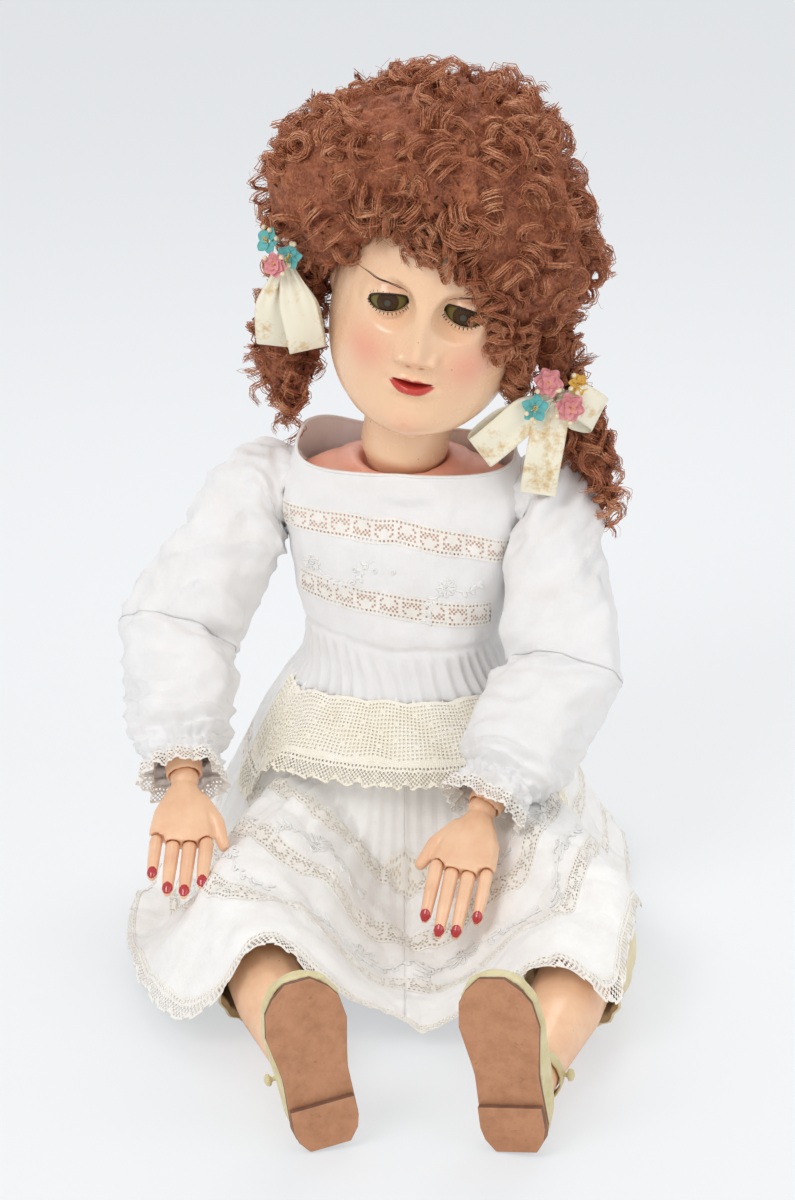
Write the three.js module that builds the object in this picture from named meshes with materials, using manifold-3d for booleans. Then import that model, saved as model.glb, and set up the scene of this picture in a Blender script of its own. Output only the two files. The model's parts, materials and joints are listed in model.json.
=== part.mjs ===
// French doll, seated: ball-jointed composition body strung with elastic, socket head with an
// open mouth and sleeping eyes, curly mohair wig, batiste dress, net apron and leather shoes.
// Millimetres. +Z is up, the doll faces -Y and its own left side is +X.
// The origin lies on the floor under the middle of the torso.

import * as THREE from 'three';
import { mergeVertices } from 'three/addons/utils/BufferGeometryUtils.js';
import Module from 'manifold-3d';

const wasm = await Module();
wasm.setup();

// Driving dimensions of the body
const torsoYaw = -8;
const torsoShift = 5;
const torsoWall = 6;
const neckHeight = 300;
const neckForward = 4;
const neckBallRadius = 25;
const neckRimDrop = 11;
const neckRimRadius = 30;
const shoulderHeight = 264;
const shoulderHalfSpan = 95;
const shoulderBallRadius = 21;
const hipHeight = 45;
const hipHalfSpan = 46;
const hipForward = 12;
const hipBallRadius = 34;
const crotchHalfWidth = 11;

// Driving dimensions of the limbs
const upperArmLength = 118;
const upperArmRadius = 17;
const elbowBallRadius = 15;
const forearmLength = 114;
const forearmRadius = 16;
const wristRadius = 12;
const palmLength = 50;
const palmHalfWidth = 21;
const palmHalfThickness = 8.5;
const fingerPitch = 10.8;
const fingerRadius = 5;
const fingerLengths = [38, 44, 42, 33];
const knuckleArc = [0, 2.5, 2, -2.5];
const thighLength = 206;
const thighRadius = 31;
const kneeBallRadius = 20;
const shinLength = 212;
const calfRadius = 24;
const ankleRadius = 15;
const footLength = 108;
const footHalfWidth = 23;
const heelBack = 17;

// Driving dimensions of the shoes
const shoeLeather = 1.8;
const soleThickness = 3;
const heelLiftThickness = 4;
const heelLiftLength = 30;
const strapWidth = 9;

// Driving dimensions of the head
const skullHalfWidth = 63;
const skullHalfDepth = 75;
const skullHalfHeight = 85;
const skullUp = 122;
const skullBack = 5;
const headWall = 5;
const crownCutUp = 186;
const crownCutTilt = 20;
const eyeRadius = 13.5;
const eyeHalfSpan = 24.3;
const eyeUp = 131;
const eyeBack = -49;
const eyeOpeningHalfWidth = 12.2;
const eyeOpeningHalfHeight = 7.4;
const mouthUp = 82;
const mouthHalfWidth = 11;
const mouthHalfHeight = 3.2;
const wigThickness = 46;
const crownLift = 8;
const lockRadius = 16;
const ribbonWidth = 24;

// Driving dimensions of the clothes
const clothThickness = 2;
const bodiceLow = 150;
const neckline = 289;
const armholeOut = 77;
const sleeveRadius = 37;
const cuffRadius = 26;
const skirtDrape = 105;
const skirtFall = 86;

// Clearances
const ballClearance = 0.9;
const fingerClearance = 0.9;
const touchGap = 0.35;
const elasticRadius = 2.5;
const elasticBore = 4.2;
const hookWire = 1.8;
const cupWall = 2.6;
const clothClearance = 2.2;

// Where each limb points when the doll sits, in degrees: swing is forward from hanging
// straight down, spread is away from the doll's middle.
const seated = {
  R: {
    side: -1,
    upperArm: { spread: 31.1, swing: 26.8 },
    forearm: { spread: -5.5, swing: 55.2 },
    hand: { spread: 0, swing: 57 },
    fingers: { spread: 2, swing: 75 },
    thigh: { spread: 15.5, swing: 88 },
    shin: { spread: -14.8, swing: 85.55 },
  },
  L: {
    side: 1,
    upperArm: { spread: 5.6, swing: 30 },
    forearm: { spread: -29.3, swing: 48.6 },
    hand: { spread: -16.8, swing: 57 },
    fingers: { spread: -12, swing: 52 },
    thigh: { spread: 22, swing: 88 },
    shin: { spread: -16, swing: 85.3 },
  },
};
const toeLean = -9;
const headTilt = { yaw: -5, roll: 10.2, nod: 11 };

const degrees = Math.PI / 180;
const worldX = new THREE.Vector3(1, 0, 0);
const worldZ = new THREE.Vector3(0, 0, 1);

const finish = {
  composition: new THREE.MeshStandardMaterial({ color: '#e9bd95', roughness: 0.35 }),
  bodyPaint: new THREE.MeshStandardMaterial({ color: '#f0b29a', roughness: 0.4 }),
  headPaint: new THREE.MeshStandardMaterial({ color: '#efc39c', roughness: 0.3 }),
  wood: new THREE.MeshStandardMaterial({ color: '#c39a67', roughness: 0.6 }),
  elastic: new THREE.MeshStandardMaterial({ color: '#d8cdb8', roughness: 0.9 }),
  steel: new THREE.MeshStandardMaterial({ color: '#8d8f92', roughness: 0.4, metalness: 1 }),
  lead: new THREE.MeshStandardMaterial({ color: '#6b6d70', roughness: 0.6, metalness: 1 }),
  cork: new THREE.MeshStandardMaterial({ color: '#b58a5c', roughness: 0.9 }),
  glass: new THREE.MeshStandardMaterial({ color: '#4a3a22', roughness: 0.1 }),
  enamel: new THREE.MeshStandardMaterial({ color: '#f3ecdc', roughness: 0.3 }),
  mohair: new THREE.MeshStandardMaterial({ color: '#8a4a35', roughness: 0.7 }),
  satin: new THREE.MeshStandardMaterial({ color: '#efe9d2', roughness: 0.45 }),
  petals: new THREE.MeshStandardMaterial({ color: '#5fb6b0', roughness: 0.7 }),
  batiste: new THREE.MeshStandardMaterial({ color: '#f4efe8', roughness: 0.85 }),
  net: new THREE.MeshStandardMaterial({ color: '#efe6cc', roughness: 0.85 }),
  cotton: new THREE.MeshStandardMaterial({ color: '#ece0bf', roughness: 0.85 }),
  creamLeather: new THREE.MeshStandardMaterial({ color: '#d9cfa4', roughness: 0.5 }),
  soleLeather: new THREE.MeshStandardMaterial({ color: '#b5795a', roughness: 0.65 }),
};

function vector(x, y, z) {
  return new THREE.Vector3(x, y, z);
}

function mix(a, b, t) {
  return a + (b - a) * t;
}

function smooth(t) {
  const s = Math.min(1, Math.max(0, t));
  return s * s * (3 - 2 * s);
}

// Reads a table of [position, value] pairs with smooth steps between them.
function along(table, position) {
  const first = table[0];
  const last = table[table.length - 1];
  if (position <= first[0]) return first[1];
  if (position >= last[0]) return last[1];
  const next = table.findIndex(([at]) => at > position);
  const [fromAt, from] = table[next - 1];
  const [toAt, to] = table[next];
  return mix(from, to, (position - fromAt) / (toAt - fromAt));
}

// Solids from rings and grids

function geometryOf(points, triangles) {
  const geometry = new THREE.BufferGeometry();
  const flat = points.flatMap((p) => [p.x, p.y, p.z]);
  geometry.setAttribute('position', new THREE.Float32BufferAttribute(flat, 3));
  const across = new THREE.Vector3();
  let volume = 0;
  for (const [a, b, c] of triangles) {
    volume += points[a].dot(across.crossVectors(points[b], points[c]));
  }
  const outward = volume > 0 ? triangles : triangles.map(([a, b, c]) => [a, c, b]);
  geometry.setIndex(outward.flat());
  return geometry;
}

// A body through rings of equal count. With closed set, the last ring joins the first.
function ringBody(rings, closed = false) {
  const count = rings[0].length;
  const points = rings.flat();
  const triangles = [];
  const spans = closed ? rings.length : rings.length - 1;
  for (let i = 0; i < spans; i += 1) {
    const here = i * count;
    const next = ((i + 1) % rings.length) * count;
    for (let j = 0; j < count; j += 1) {
      const k = (j + 1) % count;
      triangles.push([here + j, next + j, next + k], [here + j, next + k, here + k]);
    }
  }
  if (!closed) {
    for (const end of [0, rings.length - 1]) {
      const middle = new THREE.Vector3();
      rings[end].forEach((p) => middle.addScaledVector(p, 1 / count));
      points.push(middle);
      const centre = points.length - 1;
      for (let j = 0; j < count; j += 1) {
        const a = end * count + j;
        const b = end * count + ((j + 1) % count);
        triangles.push(end === 0 ? [centre, a, b] : [centre, b, a]);
      }
    }
  }
  return geometryOf(points, triangles);
}

// A sheet of cloth as a thin solid between two grids of points.
function sheetBody(upper, lower) {
  const columns = upper[0].length;
  const rows = upper.length;
  const points = [...upper.flat(), ...lower.flat()];
  const under = rows * columns;
  const triangles = [];
  const quad = (a, b, c, d) => triangles.push([a, b, c], [a, c, d]);
  for (let i = 0; i < rows - 1; i += 1) {
    for (let j = 0; j < columns - 1; j += 1) {
      const a = i * columns + j;
      quad(a, a + 1, a + columns + 1, a + columns);
      quad(under + a, under + a + columns, under + a + columns + 1, under + a + 1);
    }
  }
  for (let i = 0; i < rows - 1; i += 1) {
    const near = i * columns;
    const far = near + columns - 1;
    quad(near, near + columns, under + near + columns, under + near);
    quad(far, under + far, under + far + columns, far + columns);
  }
  for (let j = 0; j < columns - 1; j += 1) {
    const end = (rows - 1) * columns + j;
    quad(j, under + j, under + j + 1, j + 1);
    quad(end, end + 1, under + end + 1, under + end);
  }
  return geometryOf(points, triangles);
}

function ellipseRing(z, halfX, halfY, centreX = 0, centreY = 0, sides = 20) {
  const ring = [];
  for (let j = 0; j < sides; j += 1) {
    const angle = (2 * Math.PI * j) / sides;
    ring.push(vector(centreX + halfX * Math.cos(angle), centreY + halfY * Math.sin(angle), z));
  }
  return ring;
}

// Profile points are [radius, z] from the lowest to the highest, closed on the axis.
function turned(profile, sides = 20) {
  const points = profile.map(([r, z]) => new THREE.Vector2(r, z));
  return new THREE.LatheGeometry(points, sides).rotateX(Math.PI / 2);
}

// Profile points on a circle, between two angles from the level of its centre.
function arcProfile(radius, steps, fromAngle, toAngle, centreZ = 0) {
  const points = [];
  for (let i = 0; i <= steps; i += 1) {
    const angle = mix(fromAngle, toAngle, i / steps) * degrees;
    const onAxis = Math.abs(Math.cos(angle)) < 1e-9;
    points.push([onAxis ? 0 : radius * Math.cos(angle), centreZ + radius * Math.sin(angle)]);
  }
  return points;
}

function ball(radius, centre, sides = 20) {
  const sphere = new THREE.SphereGeometry(radius, sides, sides / 2);
  return sphere.translate(centre.x, centre.y, centre.z);
}

function ellipsoid(centre, radii, sides = 16) {
  const sphere = new THREE.SphereGeometry(1, sides, sides / 2);
  return sphere.scale(radii.x, radii.y, radii.z).translate(centre.x, centre.y, centre.z);
}

// A round bar with rounded ends that narrows from one point to another.
function taper(from, fromRadius, to, toRadius, sides = 10) {
  const profile = [
    ...arcProfile(toRadius, 2, -90, 0, -from.distanceTo(to)),
    ...arcProfile(fromRadius, 2, 0, 90),
  ];
  const down = new THREE.Vector3().subVectors(to, from).normalize();
  const turn = new THREE.Quaternion().setFromUnitVectors(vector(0, 0, -1), down);
  return turned(profile, sides).applyQuaternion(turn).translate(from.x, from.y, from.z);
}

function rod(radius, from, to, sides = 12) {
  const span = new THREE.Vector3().subVectors(to, from);
  const cylinder = new THREE.CylinderGeometry(radius, radius, span.length(), sides);
  const up = vector(0, 1, 0);
  cylinder.applyQuaternion(new THREE.Quaternion().setFromUnitVectors(up, span.normalize()));
  const middle = new THREE.Vector3().addVectors(from, to).multiplyScalar(0.5);
  return cylinder.translate(middle.x, middle.y, middle.z);
}

function tube(points, radius, sides = 8, steps = 24) {
  const outline = new THREE.Shape();
  for (let j = 0; j < sides; j += 1) {
    const angle = (2 * Math.PI * j) / sides;
    const x = radius * Math.cos(angle);
    const y = radius * Math.sin(angle);
    if (j === 0) outline.moveTo(x, y);
    else outline.lineTo(x, y);
  }
  outline.closePath();
  const extrudePath = new THREE.CatmullRomCurve3(points, false, 'centripetal');
  return new THREE.ExtrudeGeometry(outline, { steps, extrudePath, bevelEnabled: false });
}

// A block with one face through a point, filling the side that a direction points to.
function beyond(point, away, size = 300) {
  const block = new THREE.BoxGeometry(size, size, size).translate(0, 0, size / 2);
  block.applyQuaternion(new THREE.Quaternion().setFromUnitVectors(worldZ, away.clone().normalize()));
  return block.translate(point.x, point.y, point.z);
}

function blockBetween(low, high) {
  const size = new THREE.Vector3().subVectors(high, low);
  const middle = new THREE.Vector3().addVectors(low, high).multiplyScalar(0.5);
  return new THREE.BoxGeometry(size.x, size.y, size.z).translate(middle.x, middle.y, middle.z);
}

// Joining and cutting

// A cut body keeps its solid, so that it can be cut again without merging its points.
const solids = new WeakMap();

function toSolid(geometry) {
  if (solids.has(geometry)) return solids.get(geometry);
  const plain = geometry.clone();
  plain.deleteAttribute('normal');
  plain.deleteAttribute('uv');
  const merged = mergeVertices(plain, 1e-4);
  return new wasm.Manifold(
    new wasm.Mesh({
      numProp: 3,
      vertProperties: new Float32Array(merged.attributes.position.array),
      triVerts: new Uint32Array(merged.index.array),
    }),
  );
}

function fromSolid(solid) {
  const mesh = solid.getMesh();
  const geometry = new THREE.BufferGeometry();
  geometry.setAttribute('position', new THREE.BufferAttribute(mesh.vertProperties, 3));
  geometry.setIndex(new THREE.BufferAttribute(mesh.triVerts, 1));
  solids.set(geometry, solid);
  return geometry;
}

function combine(base, { join = [], keep = [], cut = [] }) {
  let solid = toSolid(base);
  for (const piece of join) solid = solid.add(toSolid(piece));
  for (const piece of keep) solid = solid.intersect(toSolid(piece));
  for (const piece of cut) solid = solid.subtract(toSolid(piece));
  return fromSolid(solid);
}

// Placing

function limbDirection(side, { spread, swing }) {
  const out = Math.sin(spread * degrees);
  const flat = Math.cos(spread * degrees);
  return vector(side * out, -flat * Math.sin(swing * degrees), -flat * Math.cos(swing * degrees));
}

function put(parent, name, geometry, material) {
  const mesh = new THREE.Mesh(geometry, material);
  mesh.name = name;
  parent.add(mesh);
}

// A group whose -Z runs down a limb and whose X lies as near as it can to a given direction.
function hang(parent, at, down, across) {
  const group = new THREE.Group();
  parent.add(group);
  parent.updateWorldMatrix(true, false);
  const z = down.clone().negate().normalize();
  const x = across.clone().addScaledVector(z, -across.dot(z)).normalize();
  const y = new THREE.Vector3().crossVectors(z, x);
  const upright = new THREE.Matrix4().makeBasis(x, y, z);
  const turn = parent.getWorldQuaternion(new THREE.Quaternion()).invert();
  group.position.copy(at);
  group.quaternion.copy(turn.multiply(new THREE.Quaternion().setFromRotationMatrix(upright)));
  return group;
}

function placeOf(group, local = vector(0, 0, 0)) {
  group.updateWorldMatrix(true, false);
  return group.localToWorld(local.clone());
}

// Torso, in its own frame: symmetrical about X, with a flat seat on z = 0

const torsoStations = [
  { z: 0, half: 56, front: -28, back: 50 },
  { z: 7, half: 62, front: -36, back: 57 },
  { z: 28, half: 68, front: -42, back: 61 },
  { z: 60, half: 69, front: -46, back: 59 },
  { z: 92, half: 64, front: -50, back: 53 },
  { z: 122, half: 58, front: -51, back: 47 },
  { z: 152, half: 56, front: -48, back: 44 },
  { z: 182, half: 60, front: -46, back: 45 },
  { z: 210, half: 66, front: -46, back: 47 },
  { z: 238, half: 71, front: -43, back: 46 },
  { z: 260, half: 82, front: -38, back: 42 },
  { z: 273, half: 76, front: -36, back: 36 },
  { z: 283, half: 56, front: -35, back: 29 },
];

function torsoRing({ z, half, front, back }, offset = 0, sides = 22) {
  const middle = (front + back) / 2;
  const depth = (back - front) / 2;
  return ellipseRing(z, half + offset, depth + offset, 0, middle, sides);
}

// The shoulders and the neck rim rise from the breast to the back.
const shoulderRise = 8;

function raisedBehind(ring) {
  ring.forEach((p) => {
    p.z += shoulderRise * smooth((p.z - 255) / 20) * smooth((p.y + 34) / 36);
  });
  return ring;
}

const neckPoint = vector(0, -neckForward, neckHeight);
const shoulderPoint = (side) => vector(side * shoulderHalfSpan, 0, shoulderHeight);
const hipPoint = (side) => vector(side * hipHalfSpan, -hipForward, hipHeight);

// The room a thigh needs beside the crotch when it swings from sitting to standing.
function thighRoom(side, spare) {
  const reach = hipBallRadius + ballClearance + spare;
  const inner = side * (crotchHalfWidth - spare);
  const outer = side * 150;
  const low = Math.min(inner, outer);
  const high = Math.max(inner, outer);
  const front = -150;
  const hipY = -hipForward;
  return [
    blockBetween(vector(low, front, -20), vector(high, hipY, hipHeight + reach)),
    blockBetween(vector(low, front, -20), vector(high, hipY + reach, hipHeight)),
  ];
}

function makeTorsoShell() {
  const rim = ellipseRing(neckHeight - neckRimDrop, neckRimRadius, neckRimRadius, 0, -neckForward, 22);
  const outer = ringBody([...torsoStations.map((s) => torsoRing(s)), rim].map(raisedBehind));
  const inside = torsoStations.filter((s, i) => s.z > torsoWall && (i % 2 === 0 || s.z > 250));
  const walls = [ball(neckBallRadius + cupWall + 2, neckPoint, 16)];
  const cuts = [ball(neckBallRadius + ballClearance, neckPoint, 20)];
  cuts.push(rod(elasticBore + 4, vector(0, -neckForward, neckHeight - 60), neckPoint, 12));
  for (const side of [-1, 1]) {
    const shoulder = shoulderPoint(side);
    const hip = hipPoint(side);
    walls.push(ball(shoulderBallRadius + cupWall + 1, shoulder, 10));
    walls.push(ball(hipBallRadius + cupWall + 1, hip, 12));
    walls.push(...thighRoom(side, cupWall));
    cuts.push(ball(shoulderBallRadius + ballClearance, shoulder, 16));
    cuts.push(ball(hipBallRadius + ballClearance, hip, 22));
    cuts.push(...thighRoom(side, 0));
    cuts.push(rod(elasticBore, vector(0, 0, shoulderHeight), shoulder, 8));
    cuts.push(rod(elasticBore + elasticRadius, vector(0, -hipForward, hipHeight), hip, 8));
  }
  const hollow = combine(ringBody(inside.map((s) => torsoRing(s, -torsoWall, 12))), { cut: walls });
  return combine(outer, { cut: [hollow, ...cuts] });
}

// The elastics end inside the bores of the limb balls, on the axis that the limb swings about.
function makeArmElastic() {
  const end = shoulderHalfSpan - touchGap;
  const clear = elasticRadius + hookWire + touchGap * 2;
  return tube(
    [
      vector(-end, 0, shoulderHeight),
      vector(-end * 0.7, 0, shoulderHeight),
      vector(-14, clear - neckForward, shoulderHeight),
      vector(14, clear - neckForward, shoulderHeight),
      vector(end * 0.7, 0, shoulderHeight),
      vector(end, 0, shoulderHeight),
    ],
    elasticRadius,
    6,
    16,
  );
}

const hookBend = 6;
const hookDrop = 58;
const cradleHeight = neckHeight - hookDrop - hookBend + hookWire + elasticRadius + touchGap * 6;

function makeLegElastic() {
  const half = [
    vector(hipHalfSpan - touchGap, -hipForward, hipHeight),
    vector(crotchHalfWidth + 3, -hipForward, hipHeight),
    vector(crotchHalfWidth - 4.5, -hipForward, hipHeight + 3),
    vector(crotchHalfWidth - 6.4, -hipForward, hipHeight + 12),
    vector(crotchHalfWidth - 6.4, -hipForward + 3, hipHeight + 50),
    vector(crotchHalfWidth - 2, 0, cradleHeight - 50),
    vector(crotchHalfWidth - 2, -neckForward, cradleHeight - 10),
    vector(crotchHalfWidth - 5, -neckForward, cradleHeight - 2),
  ];
  const top = vector(0, -neckForward, cradleHeight);
  const mirrored = [...half].reverse().map((p) => vector(-p.x, p.y, p.z));
  return tube([...half, top, ...mirrored], elasticRadius, 6, 34);
}

// Limbs, each running down its own -Z

// A cup over the ball of the next joint. Its rim lies at one angle from the limb's axis on the
// side that the joint bends to and at another on the far side.
function cup(limb, centreZ, ballRadius, towards, frontAngle, backAngle) {
  const centre = vector(0, 0, centreZ);
  const radius = ballRadius + cupWall;
  const rimPoint = (angle, sign) => vector(
    0,
    sign * radius * Math.sin(angle * degrees),
    centreZ + towards * radius * Math.cos(angle * degrees),
  );
  const front = rimPoint(frontAngle, -1);
  const back = rimPoint(backAngle, 1);
  const away = new THREE.Vector3().subVectors(back, front).cross(worldX);
  if (away.z * towards > 0) away.negate();
  return combine(limb, {
    join: [ball(radius, centre, 12)],
    cut: [ball(ballRadius + ballClearance, centre, 16), beyond(front, away)],
  });
}

function makeUpperArm() {
  const profile = [
    [0, -upperArmLength],
    [elbowBallRadius, -upperArmLength + 4],
    [upperArmRadius - 1, -upperArmLength * 0.8],
    [upperArmRadius, -upperArmLength * 0.55],
    [upperArmRadius + 1, -upperArmLength * 0.3],
    ...arcProfile(shoulderBallRadius, 6, -30, 90),
  ];
  return cup(turned(profile, 12), -upperArmLength, elbowBallRadius, 1, 38, 66);
}

function boredForElastic(limb, group, axisFrom) {
  const inward = group.worldToLocal(axisFrom.clone()).normalize().multiplyScalar(60);
  return combine(limb, { cut: [rod(elasticBore, vector(0, 0, 0), inward, 8)] });
}

function makeForearm() {
  const profile = [
    [0, -forearmLength + 1],
    [wristRadius, -forearmLength + 2],
    [wristRadius + 1, -forearmLength * 0.86],
    [forearmRadius - 1, -forearmLength * 0.6],
    [forearmRadius + 0.5, -forearmLength * 0.3],
    [elbowBallRadius, -8],
    [0, -4],
  ];
  const arm = cup(turned(profile, 12), 0, elbowBallRadius, -1, 38, 66);
  const socket = ball(wristRadius - 2 + ballClearance, vector(0, 0, -forearmLength), 12);
  return combine(arm, { cut: [socket] });
}

function fingerPlace(index, side) {
  const x = side * (index - 1.5) * fingerPitch;
  return vector(x, 0, -palmLength - knuckleArc[index]);
}

function makeHand(side) {
  const stations = [
    { z: -palmLength - 8, x: palmHalfWidth, y: palmHalfThickness * 0.7 },
    { z: -palmLength * 0.8, x: palmHalfWidth + 0.5, y: palmHalfThickness * 0.95 },
    { z: -palmLength * 0.5, x: palmHalfWidth - 2, y: palmHalfThickness + 0.8 },
    { z: -palmLength * 0.28, x: wristRadius + 1.5, y: palmHalfThickness + 0.5 },
    { z: -palmLength * 0.14, x: wristRadius - 2, y: wristRadius - 3.5 },
    { z: -4, x: wristRadius - 4, y: wristRadius - 5 },
  ];
  const palm = ringBody(stations.map((s) => ellipseRing(s.z, s.x, s.y, 0, 0, 10)));
  const root = vector(-side * 10, 1, -palmLength * 0.34);
  const bend = vector(-side * 22, 3, -palmLength * 0.64);
  const tip = vector(-side * 27, 5, -palmLength * 0.96);
  const thumb = [taper(root, 7.6, bend, 6, 6), taper(bend, 6, tip, 4.5, 6)];
  const slots = fingerLengths.map((_, index) => {
    const at = fingerPlace(index, side);
    const atEdge = index === 0 || index === fingerLengths.length - 1;
    const spare = atEdge ? 4 : 0;
    const outward = Math.sign(at.x);
    const low = at.x - fingerPitch / 2 - (outward < 0 ? spare : 0);
    const high = at.x + fingerPitch / 2 + (outward > 0 ? spare : 0);
    return blockBetween(vector(low, -14, at.z - 14), vector(high, 14, at.z + 1.6));
  });
  const sockets = fingerLengths.map((_, index) => (
    ball(fingerRadius + fingerClearance, fingerPlace(index, side), 8)
  ));
  const solid = combine(palm, { join: [ball(wristRadius - 2, vector(0, 0, 0), 10)], cut: slots });
  return combine(solid, { join: thumb, cut: sockets });
}

function makeFinger(index) {
  const length = fingerLengths[index];
  const radius = fingerRadius * (index === 3 ? 0.9 : 1);
  const base = [75, 40, 0].map((angle) => ({
    reach: -radius * Math.sin(angle * degrees),
    radius: radius * Math.cos(angle * degrees),
  }));
  const shaft = [[0.5, 0.92], [0.9, 0.76], [1, 0.36]].map(([share, scale]) => ({
    reach: share * length,
    radius: radius * scale,
  }));
  const rings = [...base, ...shaft].map((s) => {
    const droop = 5 * (Math.max(0, s.reach) / length) ** 2;
    return ellipseRing(-s.reach, s.radius, s.radius * 0.95, 0, droop, 8);
  });
  return ringBody(rings);
}

function makeUpperLeg() {
  const profile = [
    [0, -thighLength],
    [kneeBallRadius, -thighLength + 3],
    [kneeBallRadius + 3.5, -thighLength * 0.86],
    [thighRadius - 3, -thighLength * 0.62],
    [thighRadius, -thighLength * 0.36],
    [thighRadius + 1.5, -thighLength * 0.16],
    ...arcProfile(hipBallRadius, 7, -18, 90),
  ];
  return cup(turned(profile, 14), -thighLength, kneeBallRadius, 1, 66, 44);
}

// The foot hangs below the ankle: heel at +Y, toe at -Y, sole at the end of the shin.
const footStations = [
  { share: 0, half: 0.3, height: 16 },
  { share: 0.04, half: 0.62, height: 26 },
  { share: 0.16, half: 0.8, height: 34 },
  { share: 0.34, half: 0.84, height: 36 },
  { share: 0.52, half: 0.92, height: 27 },
  { share: 0.7, half: 1, height: 20 },
  { share: 0.86, half: 0.9, height: 15 },
  { share: 0.96, half: 0.62, height: 11 },
  { share: 1, half: 0.25, height: 7 },
];

function footBody(offset, sides = 12) {
  const rings = footStations.map(({ share, half, height }) => {
    const y = heelBack + offset - share * (footLength + 2 * offset);
    const ring = [];
    for (let j = 0; j < sides; j += 1) {
      const angle = (2 * Math.PI * j) / sides;
      const rise = Math.max(-0.42, Math.sin(angle)) + 0.42;
      const x = (footHalfWidth * half + offset) * Math.cos(angle);
      ring.push(vector(x, y, -shinLength + (rise / 1.42) * (height + offset)));
    }
    return ring;
  });
  return ringBody(rings);
}

function makeLowerLeg() {
  const profile = [
    [0, -shinLength + 6],
    [ankleRadius - 1, -shinLength + 8],
    [ankleRadius - 0.5, -shinLength * 0.84],
    [ankleRadius + 2, -shinLength * 0.7],
    [calfRadius, -shinLength * 0.42],
    [calfRadius - 0.5, -shinLength * 0.22],
    [kneeBallRadius, -6],
    [0, -3],
  ];
  const shin = cup(turned(profile, 12), 0, kneeBallRadius, -1, 66, 44);
  return combine(shin, { join: [footBody(0)] });
}

function makeShoeUpper() {
  const throatBack = heelBack - 4;
  const throatHalf = ankleRadius + 3;
  const opening = turned([
    [0, -shinLength + 17], [throatHalf, -shinLength + 17], [throatHalf, -shinLength + 80],
    [0, -shinLength + 80],
  ]);
  opening.scale(0.94, 1.25, 1).translate(0, throatBack - 1.25 * throatHalf, 0);
  const under = beyond(vector(0, 0, -shinLength), vector(0, 0, -1));
  return combine(footBody(touchGap + shoeLeather), {
    cut: [footBody(touchGap), opening, under, shinRoom()],
  });
}

function shinRoom() {
  const radius = ankleRadius + touchGap;
  return rod(radius, vector(0, 0, -shinLength + 12), vector(0, 0, -shinLength + 90), 16);
}

// The sole's outline, heel towards +Y, drawn about its long axis.
function soleOutline(scale = 1, fromShare = 0) {
  const outline = new THREE.Shape();
  const reach = shoeLeather + touchGap;
  const half = [[0, 0.5], [0.05, 0.7], [0.14, 0.8], [0.3, 0.78], [0.45, 0.76], [0.6, 0.88],
    [0.72, 0.96], [0.86, 0.86], [0.95, 0.6], [1, 0.3]];
  const points = [];
  for (let i = 0; i <= 14; i += 1) {
    const share = mix(fromShare, 1, i / 14);
    const x = (footHalfWidth + reach) * along(half, share) * scale;
    const y = heelBack + reach - share * (footLength + 2 * reach);
    points.push([x, y]);
  }
  const mirrored = [...points].reverse().map(([x, y]) => [-x, y]);
  [...points, ...mirrored].forEach(([x, y], i) => {
    if (i === 0) outline.moveTo(x, y);
    else outline.lineTo(x, y);
  });
  outline.closePath();
  return outline;
}

function makeSole() {
  const plate = new THREE.ExtrudeGeometry(soleOutline(), { depth: soleThickness, bevelEnabled: false });
  return plate.translate(0, 0, -shinLength - touchGap - soleThickness);
}

function makeHeelLift() {
  const reach = shoeLeather + touchGap;
  const breast = heelBack + reach - heelLiftLength;
  const plate = new THREE.ExtrudeGeometry(soleOutline(0.97), {
    depth: heelLiftThickness, bevelEnabled: false,
  });
  plate.translate(0, 0, -shinLength - soleThickness - touchGap * 2 - heelLiftThickness);
  return combine(plate, { cut: [beyond(vector(0, breast, -shinLength), vector(0, -1, 0))] });
}

// A band around the ankle with its button on the outer side.
function makeStrap(side) {
  const middle = -shinLength + 46;
  const inner = ankleRadius + 1.4;
  const outer = inner + 1.6;
  const profile = [
    [inner, middle - strapWidth / 2],
    [outer, middle - strapWidth / 2],
    [outer, middle + strapWidth / 2],
    [inner, middle + strapWidth / 2],
    [inner, middle - strapWidth / 2],
  ];
  const button = turned([[0, 0], [1.4, 0], [1.4, 3], [4.2, 4], [4.4, 5.4], [3, 7], [0, 7.6]], 6);
  button.rotateY(side * 90 * degrees).translate(side * (outer - 0.8), 0, middle);
  return combine(turned(profile, 16), { join: [button] });
}

// Head, in its own frame: origin at the middle of the neck ball, face towards -Y

const jawStations = [
  { z: 35, half: 12, front: -38, back: 0 },
  { z: 39, half: 27, front: -53, back: 18 },
  { z: 46, half: 40, front: -61, back: 33 },
  { z: 55, half: 50, front: -65, back: 47 },
  { z: 67, half: 56.5, front: -66.5, back: 58 },
  { z: 82, half: 60.5, front: -67, back: 67 },
  { z: 97, half: 62.5, front: -68, back: 74 },
];

function skullStation(z) {
  const level = (z - skullUp) / skullHalfHeight;
  const share = Math.sqrt(Math.max(0, 1 - level * level));
  return {
    z,
    half: skullHalfWidth * share,
    front: skullBack - skullHalfDepth * share,
    back: skullBack + skullHalfDepth * share,
  };
}

const headStations = [
  ...jawStations,
  ...[112, 130, 150, 168, 184, 197, 205].map(skullStation),
];

// The cut across the crown rises to the front; the pate closes it.
function crownSide(gap, upward) {
  const normal = vector(0, Math.sin(crownCutTilt * degrees), Math.cos(crownCutTilt * degrees));
  const point = vector(0, -10, crownCutUp).addScaledVector(normal, gap);
  return beyond(point, upward ? normal : normal.clone().negate(), 400);
}

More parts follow.
